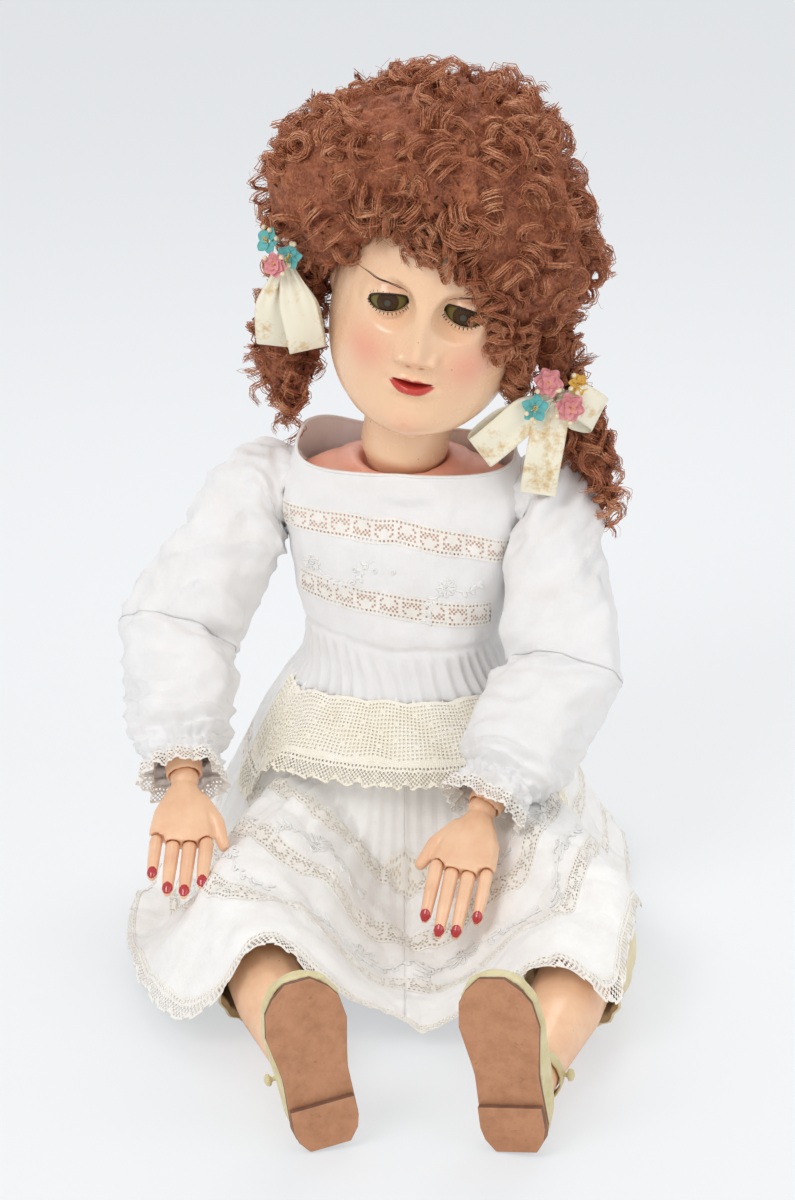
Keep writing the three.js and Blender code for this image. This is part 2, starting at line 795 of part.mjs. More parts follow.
function eyeOpening(side) {
  const outline = new THREE.Shape();
  outline.moveTo(-eyeOpeningHalfWidth, 0);
  outline.quadraticCurveTo(-6, eyeOpeningHalfHeight * 1.6, eyeOpeningHalfWidth * 0.2, eyeOpeningHalfHeight);
  outline.quadraticCurveTo(eyeOpeningHalfWidth * 0.9, eyeOpeningHalfHeight * 0.7, eyeOpeningHalfWidth, 0);
  outline.quadraticCurveTo(4, -eyeOpeningHalfHeight * 1.7, -eyeOpeningHalfWidth, 0);
  const hole = new THREE.ExtrudeGeometry(outline, { depth: 40, bevelEnabled: false, curveSegments: 4 });
  hole.rotateX(Math.PI / 2);
  return hole.translate(side * eyeHalfSpan, eyeBack, eyeUp);
}

function makeHeadShell() {
  const skull = ringBody(headStations.map((s) => torsoRing(s, 0, 22)));
  const inside = headStations.filter((s, i) => s.z > 50 && i % 2 === 0);
  const hollow = ringBody(inside.map((s) => torsoRing(s, -headWall, 12)));
  const neck = turned([
    ...arcProfile(neckBallRadius, 6, -90, 0),
    [neckBallRadius, 24], [neckBallRadius + 2, 44], [0, 60],
  ], 18);
  const seat = neckBallRadius - 4;
  const neckBore = turned([
    ...arcProfile(seat, 6, -90, 0),
    [seat, 30], [seat - 1, 58], [0, 60],
  ], 16);
  const nose = [
    ellipsoid(vector(0, -67, 104), vector(12.5, 11, 6.5), 10),
    ellipsoid(vector(0, -64.5, 120), vector(7.5, 9.5, 20), 8),
  ];
  const chin = ellipsoid(vector(0, -60, 52), vector(16, 8.5, 10), 10);
  const lips = ellipsoid(vector(0, -63.5, mouthUp), vector(16, 6.5, 8), 12);
  const ears = [-1, 1].map((side) => (
    ellipsoid(vector(side * (skullHalfWidth - 1.5), 6, 112), vector(6, 9, 15), 8)
  ));
  const mouth = ellipsoid(
    vector(0, -66, mouthUp),
    vector(mouthHalfWidth, 16, mouthHalfHeight),
    12,
  );
  const eyes = [-1, 1].map((side) => (
    ball(eyeRadius + touchGap * 2.5, vector(side * eyeHalfSpan, eyeBack, eyeUp), 14)
  ));
  return combine(skull, {
    join: [neck, ...nose, chin, lips, ...ears],
    cut: [
      hollow,
      neckBore,
      rod(neckHoleRadius, vector(0, 0, -40), vector(0, 0, 0), 20),
      mouth,
      ...eyes,
      eyeOpening(-1),
      eyeOpening(1),
      crownSide(0, true),
    ],
  });
}

const neckHoleRadius = 12;

function makePate() {
  const centre = vector(0, skullBack, skullUp);
  const size = vector(skullHalfWidth, skullHalfDepth, skullHalfHeight);
  const inner = size.clone().addScalar(-2.5);
  return combine(ellipsoid(centre, size, 24), {
    keep: [crownSide(touchGap, true)],
    cut: [ellipsoid(centre, inner, 16)],
  });
}

function makeNeckButton() {
  const under = neckBallRadius - 4 - touchGap * 2;
  const bore = hookWire + touchGap;
  const rim = arcProfile(under, 4, -90 + Math.asin(bore / under) / degrees, -28);
  const edge = rim[rim.length - 1];
  const top = -3;
  return turned([...rim, [edge[0], top - 2], [edge[0] - 2, top], [bore, top], rim[0]], 14);
}

// Hangs through the button: a washer head above it and a cradle for the leg elastic below.
function makeNeckHook() {
  const top = -3 + touchGap;
  const points = [
    vector(0, 0, top + 2),
    vector(0, 0, -16),
    vector(0, 0, -29),
    vector(0, -hookBend, -42),
    vector(0, -hookBend, -hookDrop + 2),
  ];
  for (let i = 0; i <= 6; i += 1) {
    const angle = Math.PI * (i / 6);
    points.push(vector(
      0,
      -hookBend * Math.cos(angle),
      -hookDrop - hookBend * Math.sin(angle),
    ));
  }
  points.push(vector(0, hookBend, -hookDrop + 8));
  const washer = turned([[0, top], [6, top], [6, top + 2.4], [0, top + 3.4]], 10);
  return combine(tube(points, hookWire, 6, 15), { join: [washer] });
}

function makeTeeth() {
  const gum = blockBetween(vector(-9, -59, mouthUp + 3.4), vector(9, -56, mouthUp + 8));
  const teeth = [-1.5, -0.5, 0.5, 1.5].map((place) => (
    ellipsoid(vector(place * 4.3, -58.2 + Math.abs(place) * 0.5, mouthUp + 2.4), vector(2, 1.6, 4.4), 6)
  ));
  return combine(gum, { join: teeth });
}

// The rocker turns on the line through both eyes; its stem carries the weight.
const weightDrop = 44;

function makeEye() {
  return new THREE.SphereGeometry(eyeRadius, 14, 9).rotateZ(Math.PI / 2);
}

function makeRocker() {
  const end = eyeHalfSpan - eyeRadius - touchGap;
  const bar = rod(1.8, vector(-end, 0, 0), vector(end, 0, 0), 8);
  const stem = tube([vector(0, 0, 0), vector(0, 10, -16), vector(0, 14, -weightDrop)], 1.8, 6, 5);
  return combine(bar, { join: [stem] });
}

function makeWeight() {
  const top = -weightDrop - touchGap;
  return turned([[0, top - 13], [6.5, top - 13], [8, top - 10], [8, top - 3], [6, top], [0, top]], 12)
    .translate(0, 14, 0);
}

// Wig: a cap of hair over the skull, lumpy with curls, open at the face

// The wig sits askew: by the angle from straight ahead it is lower and thinner on the left.
const hairlineUp = [[-180, -42], [-150, -38], [-120, -24], [-90, -6], [-65, 6], [-45, 28], [-25, 42], [0, 40],
  [20, 31], [36, 15], [52, 2], [70, -8], [90, -14], [120, -26], [150, -38], [180, -42]];
const hairDepth = [[-180, 0.86], [-140, 1.1], [-90, 1.42], [-60, 1.3], [-30, 0.85], [0, 0.66], [40, 0.74],
  [90, 0.74], [140, 0.8], [180, 0.86]];

function hairPoint(turnAngle, rise, grow) {
  const flat = Math.cos(rise * degrees);
  const radius = vector(skullHalfWidth, skullHalfDepth, skullHalfHeight).addScalar(grow);
  return vector(
    radius.x * flat * Math.sin(turnAngle * degrees),
    skullBack - radius.y * flat * Math.cos(turnAngle * degrees),
    skullUp + radius.z * Math.sin(rise * degrees),
  );
}

// The hair keeps off the ears, which stand out of the skull at both sides.
function hairInner(turnAngle, rise) {
  const off = Math.min(turnAngle, 360 - turnAngle);
  const nearEar = smooth(1.6 - Math.hypot((off - 92) / 22, (rise + 8) / 24));
  return touchGap * 4 + 8 * nearEar;
}

function wigRings() {
  const around = 32;
  const rows = 8;
  const outer = [];
  const inner = [];
  for (let i = 0; i <= rows; i += 1) {
    const outerRing = [];
    const innerRing = [];
    for (let j = 0; j < around; j += 1) {
      const turnAngle = (360 * j) / around;
      const off = turnAngle > 180 ? turnAngle - 360 : turnAngle;
      const rise = mix(along(hairlineUp, off), 84, (i / rows) ** 0.9);
      const curls = 5 * Math.sin(turnAngle * degrees * 10 + i * 2.1) * Math.cos(i * 1.7 + j);
      const top = crownLift * smooth((rise - 20) / 50);
      const depth = mix(along(hairDepth, off), 0.86, smooth((rise - 25) / 45));
      const body = wigThickness * depth * smooth(i / 3 + 0.3) + top;
      const start = hairInner(turnAngle, rise);
      outerRing.push(hairPoint(turnAngle, rise, start + Math.max(4, body + curls)));
      innerRing.push(hairPoint(turnAngle, rise, start));
    }
    outer.push(outerRing);
    inner.push(innerRing);
  }
  return { outer, inner };
}

function makeWig() {
  const { outer, inner } = wigRings();
  return capBody(outer, inner);
}

// The space inside the wig's outside, a little larger, for what rests on the hair.
function hairRoom() {
  const middle = vector(0, skullBack, skullUp);
  const grown = wigRings().outer.map((ring) => ring.map((p) => {
    const away = p.clone().sub(middle).normalize();
    return p.clone().addScaledVector(away, touchGap * 1.5);
  }));
  return ringBody(grown);
}

// A cap between two stacks of rings that share a rim at the bottom and close at the top.
function capBody(outer, inner) {
  return ringBody([...[...inner].reverse(), ...outer]);
}

// Clothes. Sleeves and drawers are tubes of cloth round a limb.

// Rings across a path, from one share of its length to another.
function pathRings(path, across, from, to, steps, radiusAt, sides) {
  const rings = [];
  for (let i = 0; i <= steps; i += 1) {
    const share = mix(from, to, i / steps);
    const at = path.getPointAt(share);
    const forward = path.getTangentAt(share);
    const x = across.clone().addScaledVector(forward, -across.dot(forward)).normalize();
    const y = new THREE.Vector3().crossVectors(forward, x);
    const ring = [];
    for (let j = 0; j < sides; j += 1) {
      const angle = (2 * Math.PI * j) / sides;
      const radius = radiusAt(share, angle);
      ring.push(at.clone()
        .addScaledVector(x, radius * Math.cos(angle))
        .addScaledVector(y, radius * Math.sin(angle)));
    }
    rings.push(ring);
  }
  return rings;
}

function clothTube(path, across, from, to, steps, radiusAt, thickness, sides = 20) {
  const outer = pathRings(path, across, from, to, steps, radiusAt, sides);
  const inside = (share, angle) => radiusAt(share, angle) - thickness;
  const inner = pathRings(path, across, from, to, steps, inside, sides);
  return ringBody([...outer, ...inner.reverse()], true);
}

const sleeveFolds = 6;
const cuffAbove = 10;

// Where a sleeve's rings lie, which way each faces and how wide it is, armhole to cuff.
function sleeveStations(name) {
  const { side, upperArm, forearm } = seated[name];
  const shoulder = joints[`shoulder_${name}`];
  const elbow = joints[`elbow_${name}`];
  const outward = placeOf(torso, vector(side, 0, 0)).sub(placeOf(torso));
  const down = limbDirection(side, upperArm);
  const on = limbDirection(side, forearm);
  const between = (a, b) => a.clone().add(b).normalize();
  const armhole = placeOf(torso, vector(side * (armholeOut + touchGap * 2), 0, shoulderHeight + 3));
  const upper = (reach, out = 0) => placeOf(shoulder, vector(side * out, 0, -reach));
  const lower = (reach) => placeOf(elbow, vector(0, 0, -reach));
  const cuffEnd = forearmLength - cuffAbove;
  return {
    upper: [
      { at: armhole, facing: outward, radius: shoulderBallRadius + 5 },
      { at: upper(2, 1), facing: between(outward, down), radius: shoulderBallRadius + 11 },
      { at: upper(upperArmLength * 0.3, 3), facing: down, radius: sleeveRadius - 6 },
      { at: upper(upperArmLength * 0.62, 2), facing: down, radius: sleeveRadius - 1 },
      { at: lower(0), facing: between(down, on), radius: sleeveRadius, back: true },
    ],
    lower: [
      { at: lower(0), facing: between(down, on), radius: sleeveRadius, ahead: true },
      { at: lower(forearmLength * 0.34), facing: on, radius: sleeveRadius },
      { at: lower(forearmLength * 0.66), facing: on, radius: sleeveRadius - 2 },
      { at: lower(cuffEnd - 14), facing: on, radius: cuffRadius - 2 },
      { at: lower(cuffEnd), facing: on, radius: cuffRadius },
    ],
  };
}

function sleeveRings(stations, thickness, sides, startPhase) {
  let across = vector(0, 1, 0.2).normalize();
  return stations.map(({ at, facing, radius, back, ahead }, i) => {
    across = across.clone().addScaledVector(facing, -across.dot(facing)).normalize();
    const third = new THREE.Vector3().crossVectors(facing, across);
    const shift = (back ? -touchGap : 0) + (ahead ? touchGap : 0);
    const middle = at.clone().addScaledVector(facing, shift / 2);
    const ring = [];
    for (let j = 0; j < sides; j += 1) {
      const angle = (2 * Math.PI * j) / sides;
      const puff = i + startPhase === 0 ? 0 : 1.5 * Math.cos(sleeveFolds * angle + (i + startPhase));
      const reach = radius + puff - thickness;
      ring.push(middle.clone()
        .addScaledVector(across, reach * Math.cos(angle))
        .addScaledVector(third, reach * Math.sin(angle)));
    }
    return ring;
  });
}

function makeSleeve(name, half) {
  const stations = sleeveStations(name)[half];
  const sides = 16;
  const phase = half === 'upper' ? 0 : 4;
  const outer = sleeveRings(stations, 0, sides, phase);
  const inner = sleeveRings(stations, clothThickness, sides, phase).reverse();
  return ringBody([...outer, ...inner], true);
}

function makeDrawers(name) {
  const hip = joints[`hip_${name}`];
  const knee = joints[`knee_${name}`];
  const path = new THREE.CatmullRomCurve3(
    [
      placeOf(hip, vector(0, 0, -hipBallRadius * 1.5)),
      placeOf(hip, vector(0, 0, -thighLength * 0.6)),
      placeOf(hip, vector(0, 0, -thighLength * 0.85)),
      placeOf(knee, vector(0, 0, -shinLength * 0.12)),
      placeOf(knee, vector(0, 0, -shinLength * 0.3)),
    ],
    false,
    'centripetal',
  );
  const girth = [[0, thighRadius + 6], [0.5, thighRadius + 4.5], [0.72, kneeBallRadius + 12],
    [0.93, calfRadius + 6], [1, calfRadius + 8]];
  const radiusAt = (share) => along(girth, share) - clothClearance * 0.88;
  return clothTube(path, worldX, 0, 1, 6, radiusAt, clothThickness, 14);
}

// The skirt hangs from the waist and lies over the legs and on the floor. Its underside is a
// height above the floor, the highest of what the legs and the body hold up.

const waist = { half: 61, front: -52, back: 48 };

function legCover(name) {
  const hip = joints[`hip_${name}`];
  const knee = joints[`knee_${name}`];
  return [
    [placeOf(hip), hipBallRadius + 3 + clothClearance],
    [placeOf(hip, vector(0, 0, -thighLength * 0.5)), thighRadius + 8 + clothClearance],
    [placeOf(knee), kneeBallRadius + 11 + clothClearance],
    [placeOf(knee, vector(0, 0, -shinLength * 0.3)), calfRadius + 9.5 + clothClearance],
    [placeOf(knee, vector(0, 0, -shinLength * 0.75)), ankleRadius + 3 + clothClearance],
  ];
}

function overLegs(covers, x, y) {
  let height = 0;
  for (const [index, cover] of covers.entries()) {
    const outwards = index === 0 ? -1 : 1;
    for (let i = 0; i < cover.length - 1; i += 1) {
      const [from, fromRadius] = cover[i];
      const [to, toRadius] = cover[i + 1];
      const run = vector(to.x - from.x, to.y - from.y, 0);
      const reach = vector(x - from.x, y - from.y, 0);
      const share = Math.min(1, Math.max(0, reach.dot(run) / run.lengthSq()));
      const away = reach.addScaledVector(run, -share).length();
      const radius = mix(fromRadius, toRadius, share);
      const level = mix(from.z, to.z, share);
      const dome = away < radius ? level + Math.sqrt(radius * radius - away * away) : 0;
      const outside = outwards * (x - mix(from.x, to.x, share)) > 0;
      const drape = (level + radius) * (1 - smooth(away / (outside ? skirtFall : skirtDrape)));
      height = Math.max(height, dome, drape);
    }
  }
  return height;
}

function waistPoint(angle) {
  const middle = (waist.front + waist.back) / 2;
  const depth = (waist.back - waist.front) / 2;
  return vector(torsoShift + waist.half * Math.sin(angle), middle - depth * Math.cos(angle), 0);
}

function fromWaist(x, y) {
  const middle = (waist.front + waist.back) / 2;
  const depth = (waist.back - waist.front) / 2;
  const out = Math.hypot((x - torsoShift) / waist.half, (y - middle) / depth) - 1;
  const share = Math.min(1, Math.max(0, (out * waist.half) / skirtDrape));
  return (bodiceLow - clothThickness - touchGap) * (1 - smooth(share));
}

// How far the hem lies from the doll's middle, by the angle from straight ahead.
const hemReach = {
  R: [[0, 288], [10, 310], [17, 298], [21, 322], [27, 316], [36, 282], [45, 250], [60, 212], [72, 182],
    [84, 166], [110, 158], [180, 150]],
  L: [[0, 288], [10, 305], [17, 322], [22, 335], [27, 300], [33, 265], [45, 215], [60, 175], [80, 158],
    [110, 150], [180, 150]],
};
const floorGap = 0.6;
const sideShift = 0.42;

function skirtPoint(covers, turn, share) {
  const wrapped = ((turn + 540) % 360) - 180;
  const sideways = Math.min(1, Math.abs(wrapped) / panelSide);
  const outShare = share ** (1 - sideShift * sideways * sideways);
  const reach = along(wrapped < 0 ? hemReach.R : hemReach.L, Math.abs(wrapped));
  const hem = vector(
    torsoShift + reach * Math.sin(turn * degrees),
    -reach * Math.cos(turn * degrees),
    0,
  );
  const at = waistPoint(turn * degrees).lerp(hem, outShare);
  const held = Math.max(floorGap, overLegs(covers, at.x, at.y), fromWaist(at.x, at.y));
  const fold = 0.5 + 0.5 * Math.cos(turn * degrees * skirtFolds);
  at.z = held + skirtFold * smooth(outShare * 2.2) * fold;
  return at;
}

function evenly(from, to, steps) {
  return Array.from({ length: steps + 1 }, (_, i) => mix(from, to, i / steps));
}

function skirtSheet(covers, turns, shares, lift, thickness) {
  const grid = (height) => shares.map((share) => turns.map((turn) => {
    const at = skirtPoint(covers, turn, share);
    at.z += height;
    return at;
  }));
  return sheetBody(grid(lift + thickness), grid(lift));
}

const skirtFold = 5;
const skirtFolds = 24;
const panelSide = 76;
const seamGap = 0.25;

const necklineRise = 16;
const necklineLean = 0.13;

function makeBodice() {
  const levels = torsoStations.filter((s) => s.z > bodiceLow && s.z < neckline - 8);
  const low = { ...levels[0], z: bodiceLow };
  const rings = (offset) => {
    const body = [low, ...levels.slice(1)].map((s) => torsoRing(s, offset, 20));
    const top = torsoRing({ z: neckline, half: 60, front: -37, back: 32 }, offset, 20);
    top.forEach((p) => {
      p.z += necklineRise * smooth((p.y + 36) / 30) - necklineLean * p.x;
    });
    return [...body.map(raisedBehind), top];
  };
  const outer = rings(clothClearance + clothThickness);
  const inner = rings(clothClearance).reverse();
  const holes = [-1, 1].map((side) => (
    beyond(vector(side * armholeOut, 0, 0), vector(side, 0, 0), 200).translate(0, 0, shoulderHeight - 20)
  ));
  const balls = [-1, 1].map((side) => (
    ball(shoulderBallRadius + clothClearance, shoulderPoint(side), 12)
  ));
  return combine(ringBody([...outer, ...inner], true), { cut: [...holes, ...balls] });
}

// Hair locks, ribbons and flowers, in the head's frame

const locks = {
  R: { points: [[-86, 6, 108], [-92, 15, 73], [-88, 22, 31], [-81, 23, -8]], girth: 1.25 },
  L: { points: [[80, 4, 115], [89, 4, 72], [117, -9, 31], [142, -20, -8]], girth: 0.9 },
};

function lockBody(name, spare = 0) {
  const { points, girth } = locks[name];
  const path = new THREE.CatmullRomCurve3(points.map((p) => vector(...p)), false, 'centripetal');
  const radiusAt = (share, angle) => {
    const swell = along([[0, 0.6], [0.15, 0.9], [0.5, 1], [0.85, 0.7], [1, 0.25]], share);
    const twist = 1 + 0.16 * Math.cos(2 * angle - share * 9) + 0.08 * Math.cos(5 * angle + share * 20);
    return lockRadius * girth * swell * twist + spare;
  };
  return ringBody(pathRings(path, worldX, 0, 1, 10, radiusAt, 10));
}

function makeLock(name) {
  return combine(lockBody(name), { cut: [hairRoom()] });
}

// Each ribbon is a bow of satin: bands that leave one knot, in the doll's frame.
const ribbons = {
  R: {
    knot: [-71, -46.6, 438.4],
    bands: [
      [[-73, -54, 434], [-79, -54, 412], [-80, -46, 388], [-79, -39, 378], [-78, -36, 386], [-76, -44, 406],
        [-72, -51, 430]],
      [[-71, -54, 434], [-65, -58, 414], [-60, -54, 390], [-58, -46, 377], [-59, -41, 386], [-63, -50, 410],
        [-70, -52, 430]],
    ],
  },
  L: {
    knot: [102, -48, 348],
    bands: [
      [[101, -57, 347], [86, -60, 340], [67, -61, 323], [54, -57, 311], [56, -52, 316], [75, -56, 333],
        [97, -56, 345]],
      [[101, -57, 345], [97, -60, 320], [94, -58, 300], [92, -53, 281]],
      [[103, -57, 347], [115, -57, 347], [127, -52, 339], [132, -46, 333], [127, -43, 331], [115, -51, 337],
        [105, -56, 345]],
    ],
  },
};
const flowers = {
  R: [[-81, -42.4, 449], [-68, -53.6, 442], [-77, -53.6, 434]],
  L: [[97, -54.8, 358], [111, -54.8, 342], [88, -57.8, 342]],
};
const flowerRadius = 8;
const flowerLift = 9;
const ribbonThickness = 1.2;
const towardsViewer = vector(0, -0.94, 0.34);

// A flat band along a path, its width lying square to the path and to the view from the front.
function bandBody(points) {
  const path = new THREE.CatmullRomCurve3(points.map((p) => vector(...p)), false, 'centripetal');
  const steps = Math.round(points.length * 1.5);
  const rings = [];
  for (let i = 0; i <= steps; i += 1) {
    const at = path.getPointAt(i / steps);
    const forward = path.getTangentAt(i / steps);
    const gather = mix(0.45, 1, smooth(Math.min(i, steps - i + (points.length < 5 ? steps : 0)) / 2.5));
    const wide = new THREE.Vector3().crossVectors(forward, towardsViewer);
    if (wide.x < 0) wide.negate();
    wide.setLength((ribbonWidth / 2) * gather);
    const thick = new THREE.Vector3().crossVectors(wide, forward).setLength(ribbonThickness / 2);
    rings.push([
      at.clone().add(wide).add(thick),
      at.clone().sub(wide).add(thick),
      at.clone().sub(wide).sub(thick),
      at.clone().add(wide).sub(thick),
    ]);
  }
  return ringBody(rings);
}

function hairRoomInWorld(name) {
  head.updateWorldMatrix(true, false);
  return [hairRoom(), lockBody(name, touchGap)].map((room) => room.applyMatrix4(head.matrixWorld));
}

function makeRibbon(name) {
  const { knot, bands } = ribbons[name];
  const centre = ellipsoid(vector(...knot), vector(6, 14, 6), 8);
  return combine(centre, { join: bands.map(bandBody), cut: hairRoomInWorld(name) });
}

function makeFlowers(name) {
  const turn = new THREE.Quaternion().setFromUnitVectors(worldZ, towardsViewer.clone().normalize());
  const places = flowers[name].map((p) => vector(...p).addScaledVector(towardsViewer, flowerLift));
  const blooms = places.map((at) => {
    const levels = [[-2.2, 0.3, 0], [-0.4, 1, 0.2], [1.4, 0.86, 0.2], [2.6, 0.26, 0]];
    const rings = levels.map(([up, size, lobe]) => {
      const ring = [];
      for (let j = 0; j < 15; j += 1) {
        const angle = (2 * Math.PI * j) / 15;
        const reach = flowerRadius * size * (1 + lobe * Math.cos(5 * angle));
        ring.push(vector(reach * Math.cos(angle), reach * Math.sin(angle), up));
      }
      return ring;
    });
    return ringBody(rings).applyQuaternion(turn).translate(at.x, at.y, at.z);
  });
  const stems = [rod(0.9, places[0], places[1], 6), rod(0.9, places[1], places[2], 6)];
  return combine(blooms[0], { join: [...blooms.slice(1), ...stems], cut: hairRoomInWorld(name) });
}

// Build

const doll = new THREE.Group();
const torso = new THREE.Group();
torso.position.set(torsoShift, 0, 0);
torso.rotation.z = torsoYaw * degrees;
doll.add(torso);

put(torso, 'torso_shell', makeTorsoShell(), finish.bodyPaint);
put(torso, 'arm_elastic', makeArmElastic(), finish.elastic);
put(torso, 'leg_elastic', makeLegElastic(), finish.elastic);

const neck = new THREE.Group();
neck.position.copy(neckPoint);
torso.add(neck);
put(neck, 'neck_button', makeNeckButton(), finish.wood);
put(neck, 'neck_hook', makeNeckHook(), finish.steel);

const head = new THREE.Group();
const tiltOrder = new THREE.Euler(
  headTilt.nod * degrees,
  headTilt.roll * degrees,
  (headTilt.yaw - torsoYaw) * degrees,
  'ZYX',
);
head.quaternion.setFromEuler(tiltOrder);
neck.add(head);
put(head, 'head_shell', makeHeadShell(), finish.headPaint);
put(head, 'crown_pate', makePate(), finish.cork);
put(head, 'upper_teeth', makeTeeth(), finish.enamel);
put(head, 'wig', makeWig(), finish.mohair);

const eyes = new THREE.Group();
eyes.position.set(0, eyeBack, eyeUp);
head.add(eyes);
put(eyes, 'eye_rocker', makeRocker(), finish.steel);
put(eyes, 'eye_weight', makeWeight(), finish.lead);
for (const [name, { side }] of Object.entries(seated)) {
  const eye = new THREE.Group();
  eye.position.set(side * eyeHalfSpan, 0, 0);
  eyes.add(eye);
  put(eye, `eye_${name}`, makeEye(), finish.glass);
}

const joints = {};

function buildArm(name) {
  const { side, upperArm, forearm, hand, fingers } = seated[name];
  const upperDown = limbDirection(side, upperArm);
  const foreDown = limbDirection(side, forearm);
  const hinge = new THREE.Vector3().crossVectors(foreDown, upperDown);
  const shoulder = hang(torso, shoulderPoint(side), upperDown, hinge);
  const torsoMiddle = placeOf(torso, vector(0, 0, shoulderHeight));
  const arm = boredForElastic(makeUpperArm(), shoulder, torsoMiddle);
  put(shoulder, `upper_arm_${name}`, arm, finish.composition);
  const elbowAt = vector(0, 0, -upperArmLength);
  const elbow = hang(shoulder, elbowAt, foreDown, hinge);
  const elbowBall = ball(elbowBallRadius, vector(0, 0, 0), 14);
  put(elbow, `elbow_ball_${name}`, elbowBall, finish.wood);
  put(elbow, `forearm_${name}`, makeForearm(), finish.composition);
  const wrist = hang(elbow, vector(0, 0, -forearmLength), limbDirection(side, hand), worldX);
  put(wrist, `hand_${name}`, makeHand(side), finish.composition);
  const fingerNames = ['index', 'middle', 'ring', 'little'];
  fingerNames.forEach((fingerName, index) => {
    const at = fingerPlace(index, side);
    const knuckle = hang(wrist, at, limbDirection(side, fingers), worldX);
    put(knuckle, `${fingerName}_finger_${name}`, makeFinger(index), finish.composition);
    joints[`${fingerName}_${name}`] = knuckle;
  });
  joints[`shoulder_${name}`] = shoulder;
  joints[`elbow_${name}`] = elbow;
  joints[`wrist_${name}`] = wrist;
}

function buildLeg(name) {
  const { side, thigh, shin } = seated[name];
  const hip = hang(torso, hipPoint(side), limbDirection(side, thigh), worldX);
  const torsoMiddle = placeOf(torso, vector(0, -hipForward, hipHeight));
  const leg = boredForElastic(makeUpperLeg(), hip, torsoMiddle);
  put(hip, `upper_leg_${name}`, leg, finish.composition);
  const kneeAt = vector(0, 0, -thighLength);
  const knee = hang(hip, kneeAt, limbDirection(side, shin), worldX);
  put(knee, `knee_ball_${name}`, ball(kneeBallRadius, vector(0, 0, 0), 16), finish.wood);
  const lower = new THREE.Group();
  lower.rotation.z = toeLean * degrees;
  knee.add(lower);
  put(lower, `lower_leg_${name}`, makeLowerLeg(), finish.composition);
  put(lower, `shoe_upper_${name}`, makeShoeUpper(), finish.creamLeather);
  put(lower, `shoe_sole_${name}`, makeSole(), finish.soleLeather);
  put(lower, `shoe_heel_${name}`, makeHeelLift(), finish.soleLeather);
  put(lower, `shoe_strap_${name}`, makeStrap(side), finish.creamLeather);
  joints[`hip_${name}`] = hip;
  joints[`knee_${name}`] = knee;
}

for (const name of ['R', 'L']) {
  buildArm(name);
  buildLeg(name);
}

put(torso, 'dress_bodice', makeBodice(), finish.batiste);
const covers = [legCover('R'), legCover('L')];
const skirtRows = [0, 0.09, 0.145, 0.2, 0.32, 0.45, 0.58, 0.72, 0.86, 1];
const turnsR = evenly(-panelSide, -seamGap, 18);
const turnsL = evenly(seamGap, panelSide, 18);
const turnsBack = evenly(panelSide + seamGap, 360 - panelSide - seamGap, 26);
put(doll, 'skirt_panel_R', skirtSheet(covers, turnsR, skirtRows, 0, clothThickness), finish.batiste);
put(doll, 'skirt_panel_L', skirtSheet(covers, turnsL, skirtRows, 0, clothThickness), finish.batiste);
put(doll, 'skirt_back', skirtSheet(covers, turnsBack, evenly(0, 1, 4), 0, clothThickness), finish.batiste);

const netThickness = 1.4;
const apronTurns = [...turnsR.slice(1), ...turnsL.slice(0, -1)];
const apron = skirtSheet(covers, apronTurns, skirtRows.slice(1, 4), clothThickness + touchGap, netThickness);
put(doll, 'apron', apron, finish.net);

for (const name of ['R', 'L']) {
  put(doll, `sleeve_upper_${name}`, makeSleeve(name, 'upper'), finish.batiste);
  put(doll, `sleeve_lower_${name}`, makeSleeve(name, 'lower'), finish.batiste);
  put(doll, `drawers_${name}`, makeDrawers(name), finish.cotton);
  put(head, `pigtail_${name}`, makeLock(name), finish.mohair);
  put(doll, `ribbon_${name}`, makeRibbon(name), finish.satin);
  put(doll, `flowers_${name}`, makeFlowers(name), finish.petals);
}

export default doll;
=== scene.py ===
import bisect
import json
import math
import random

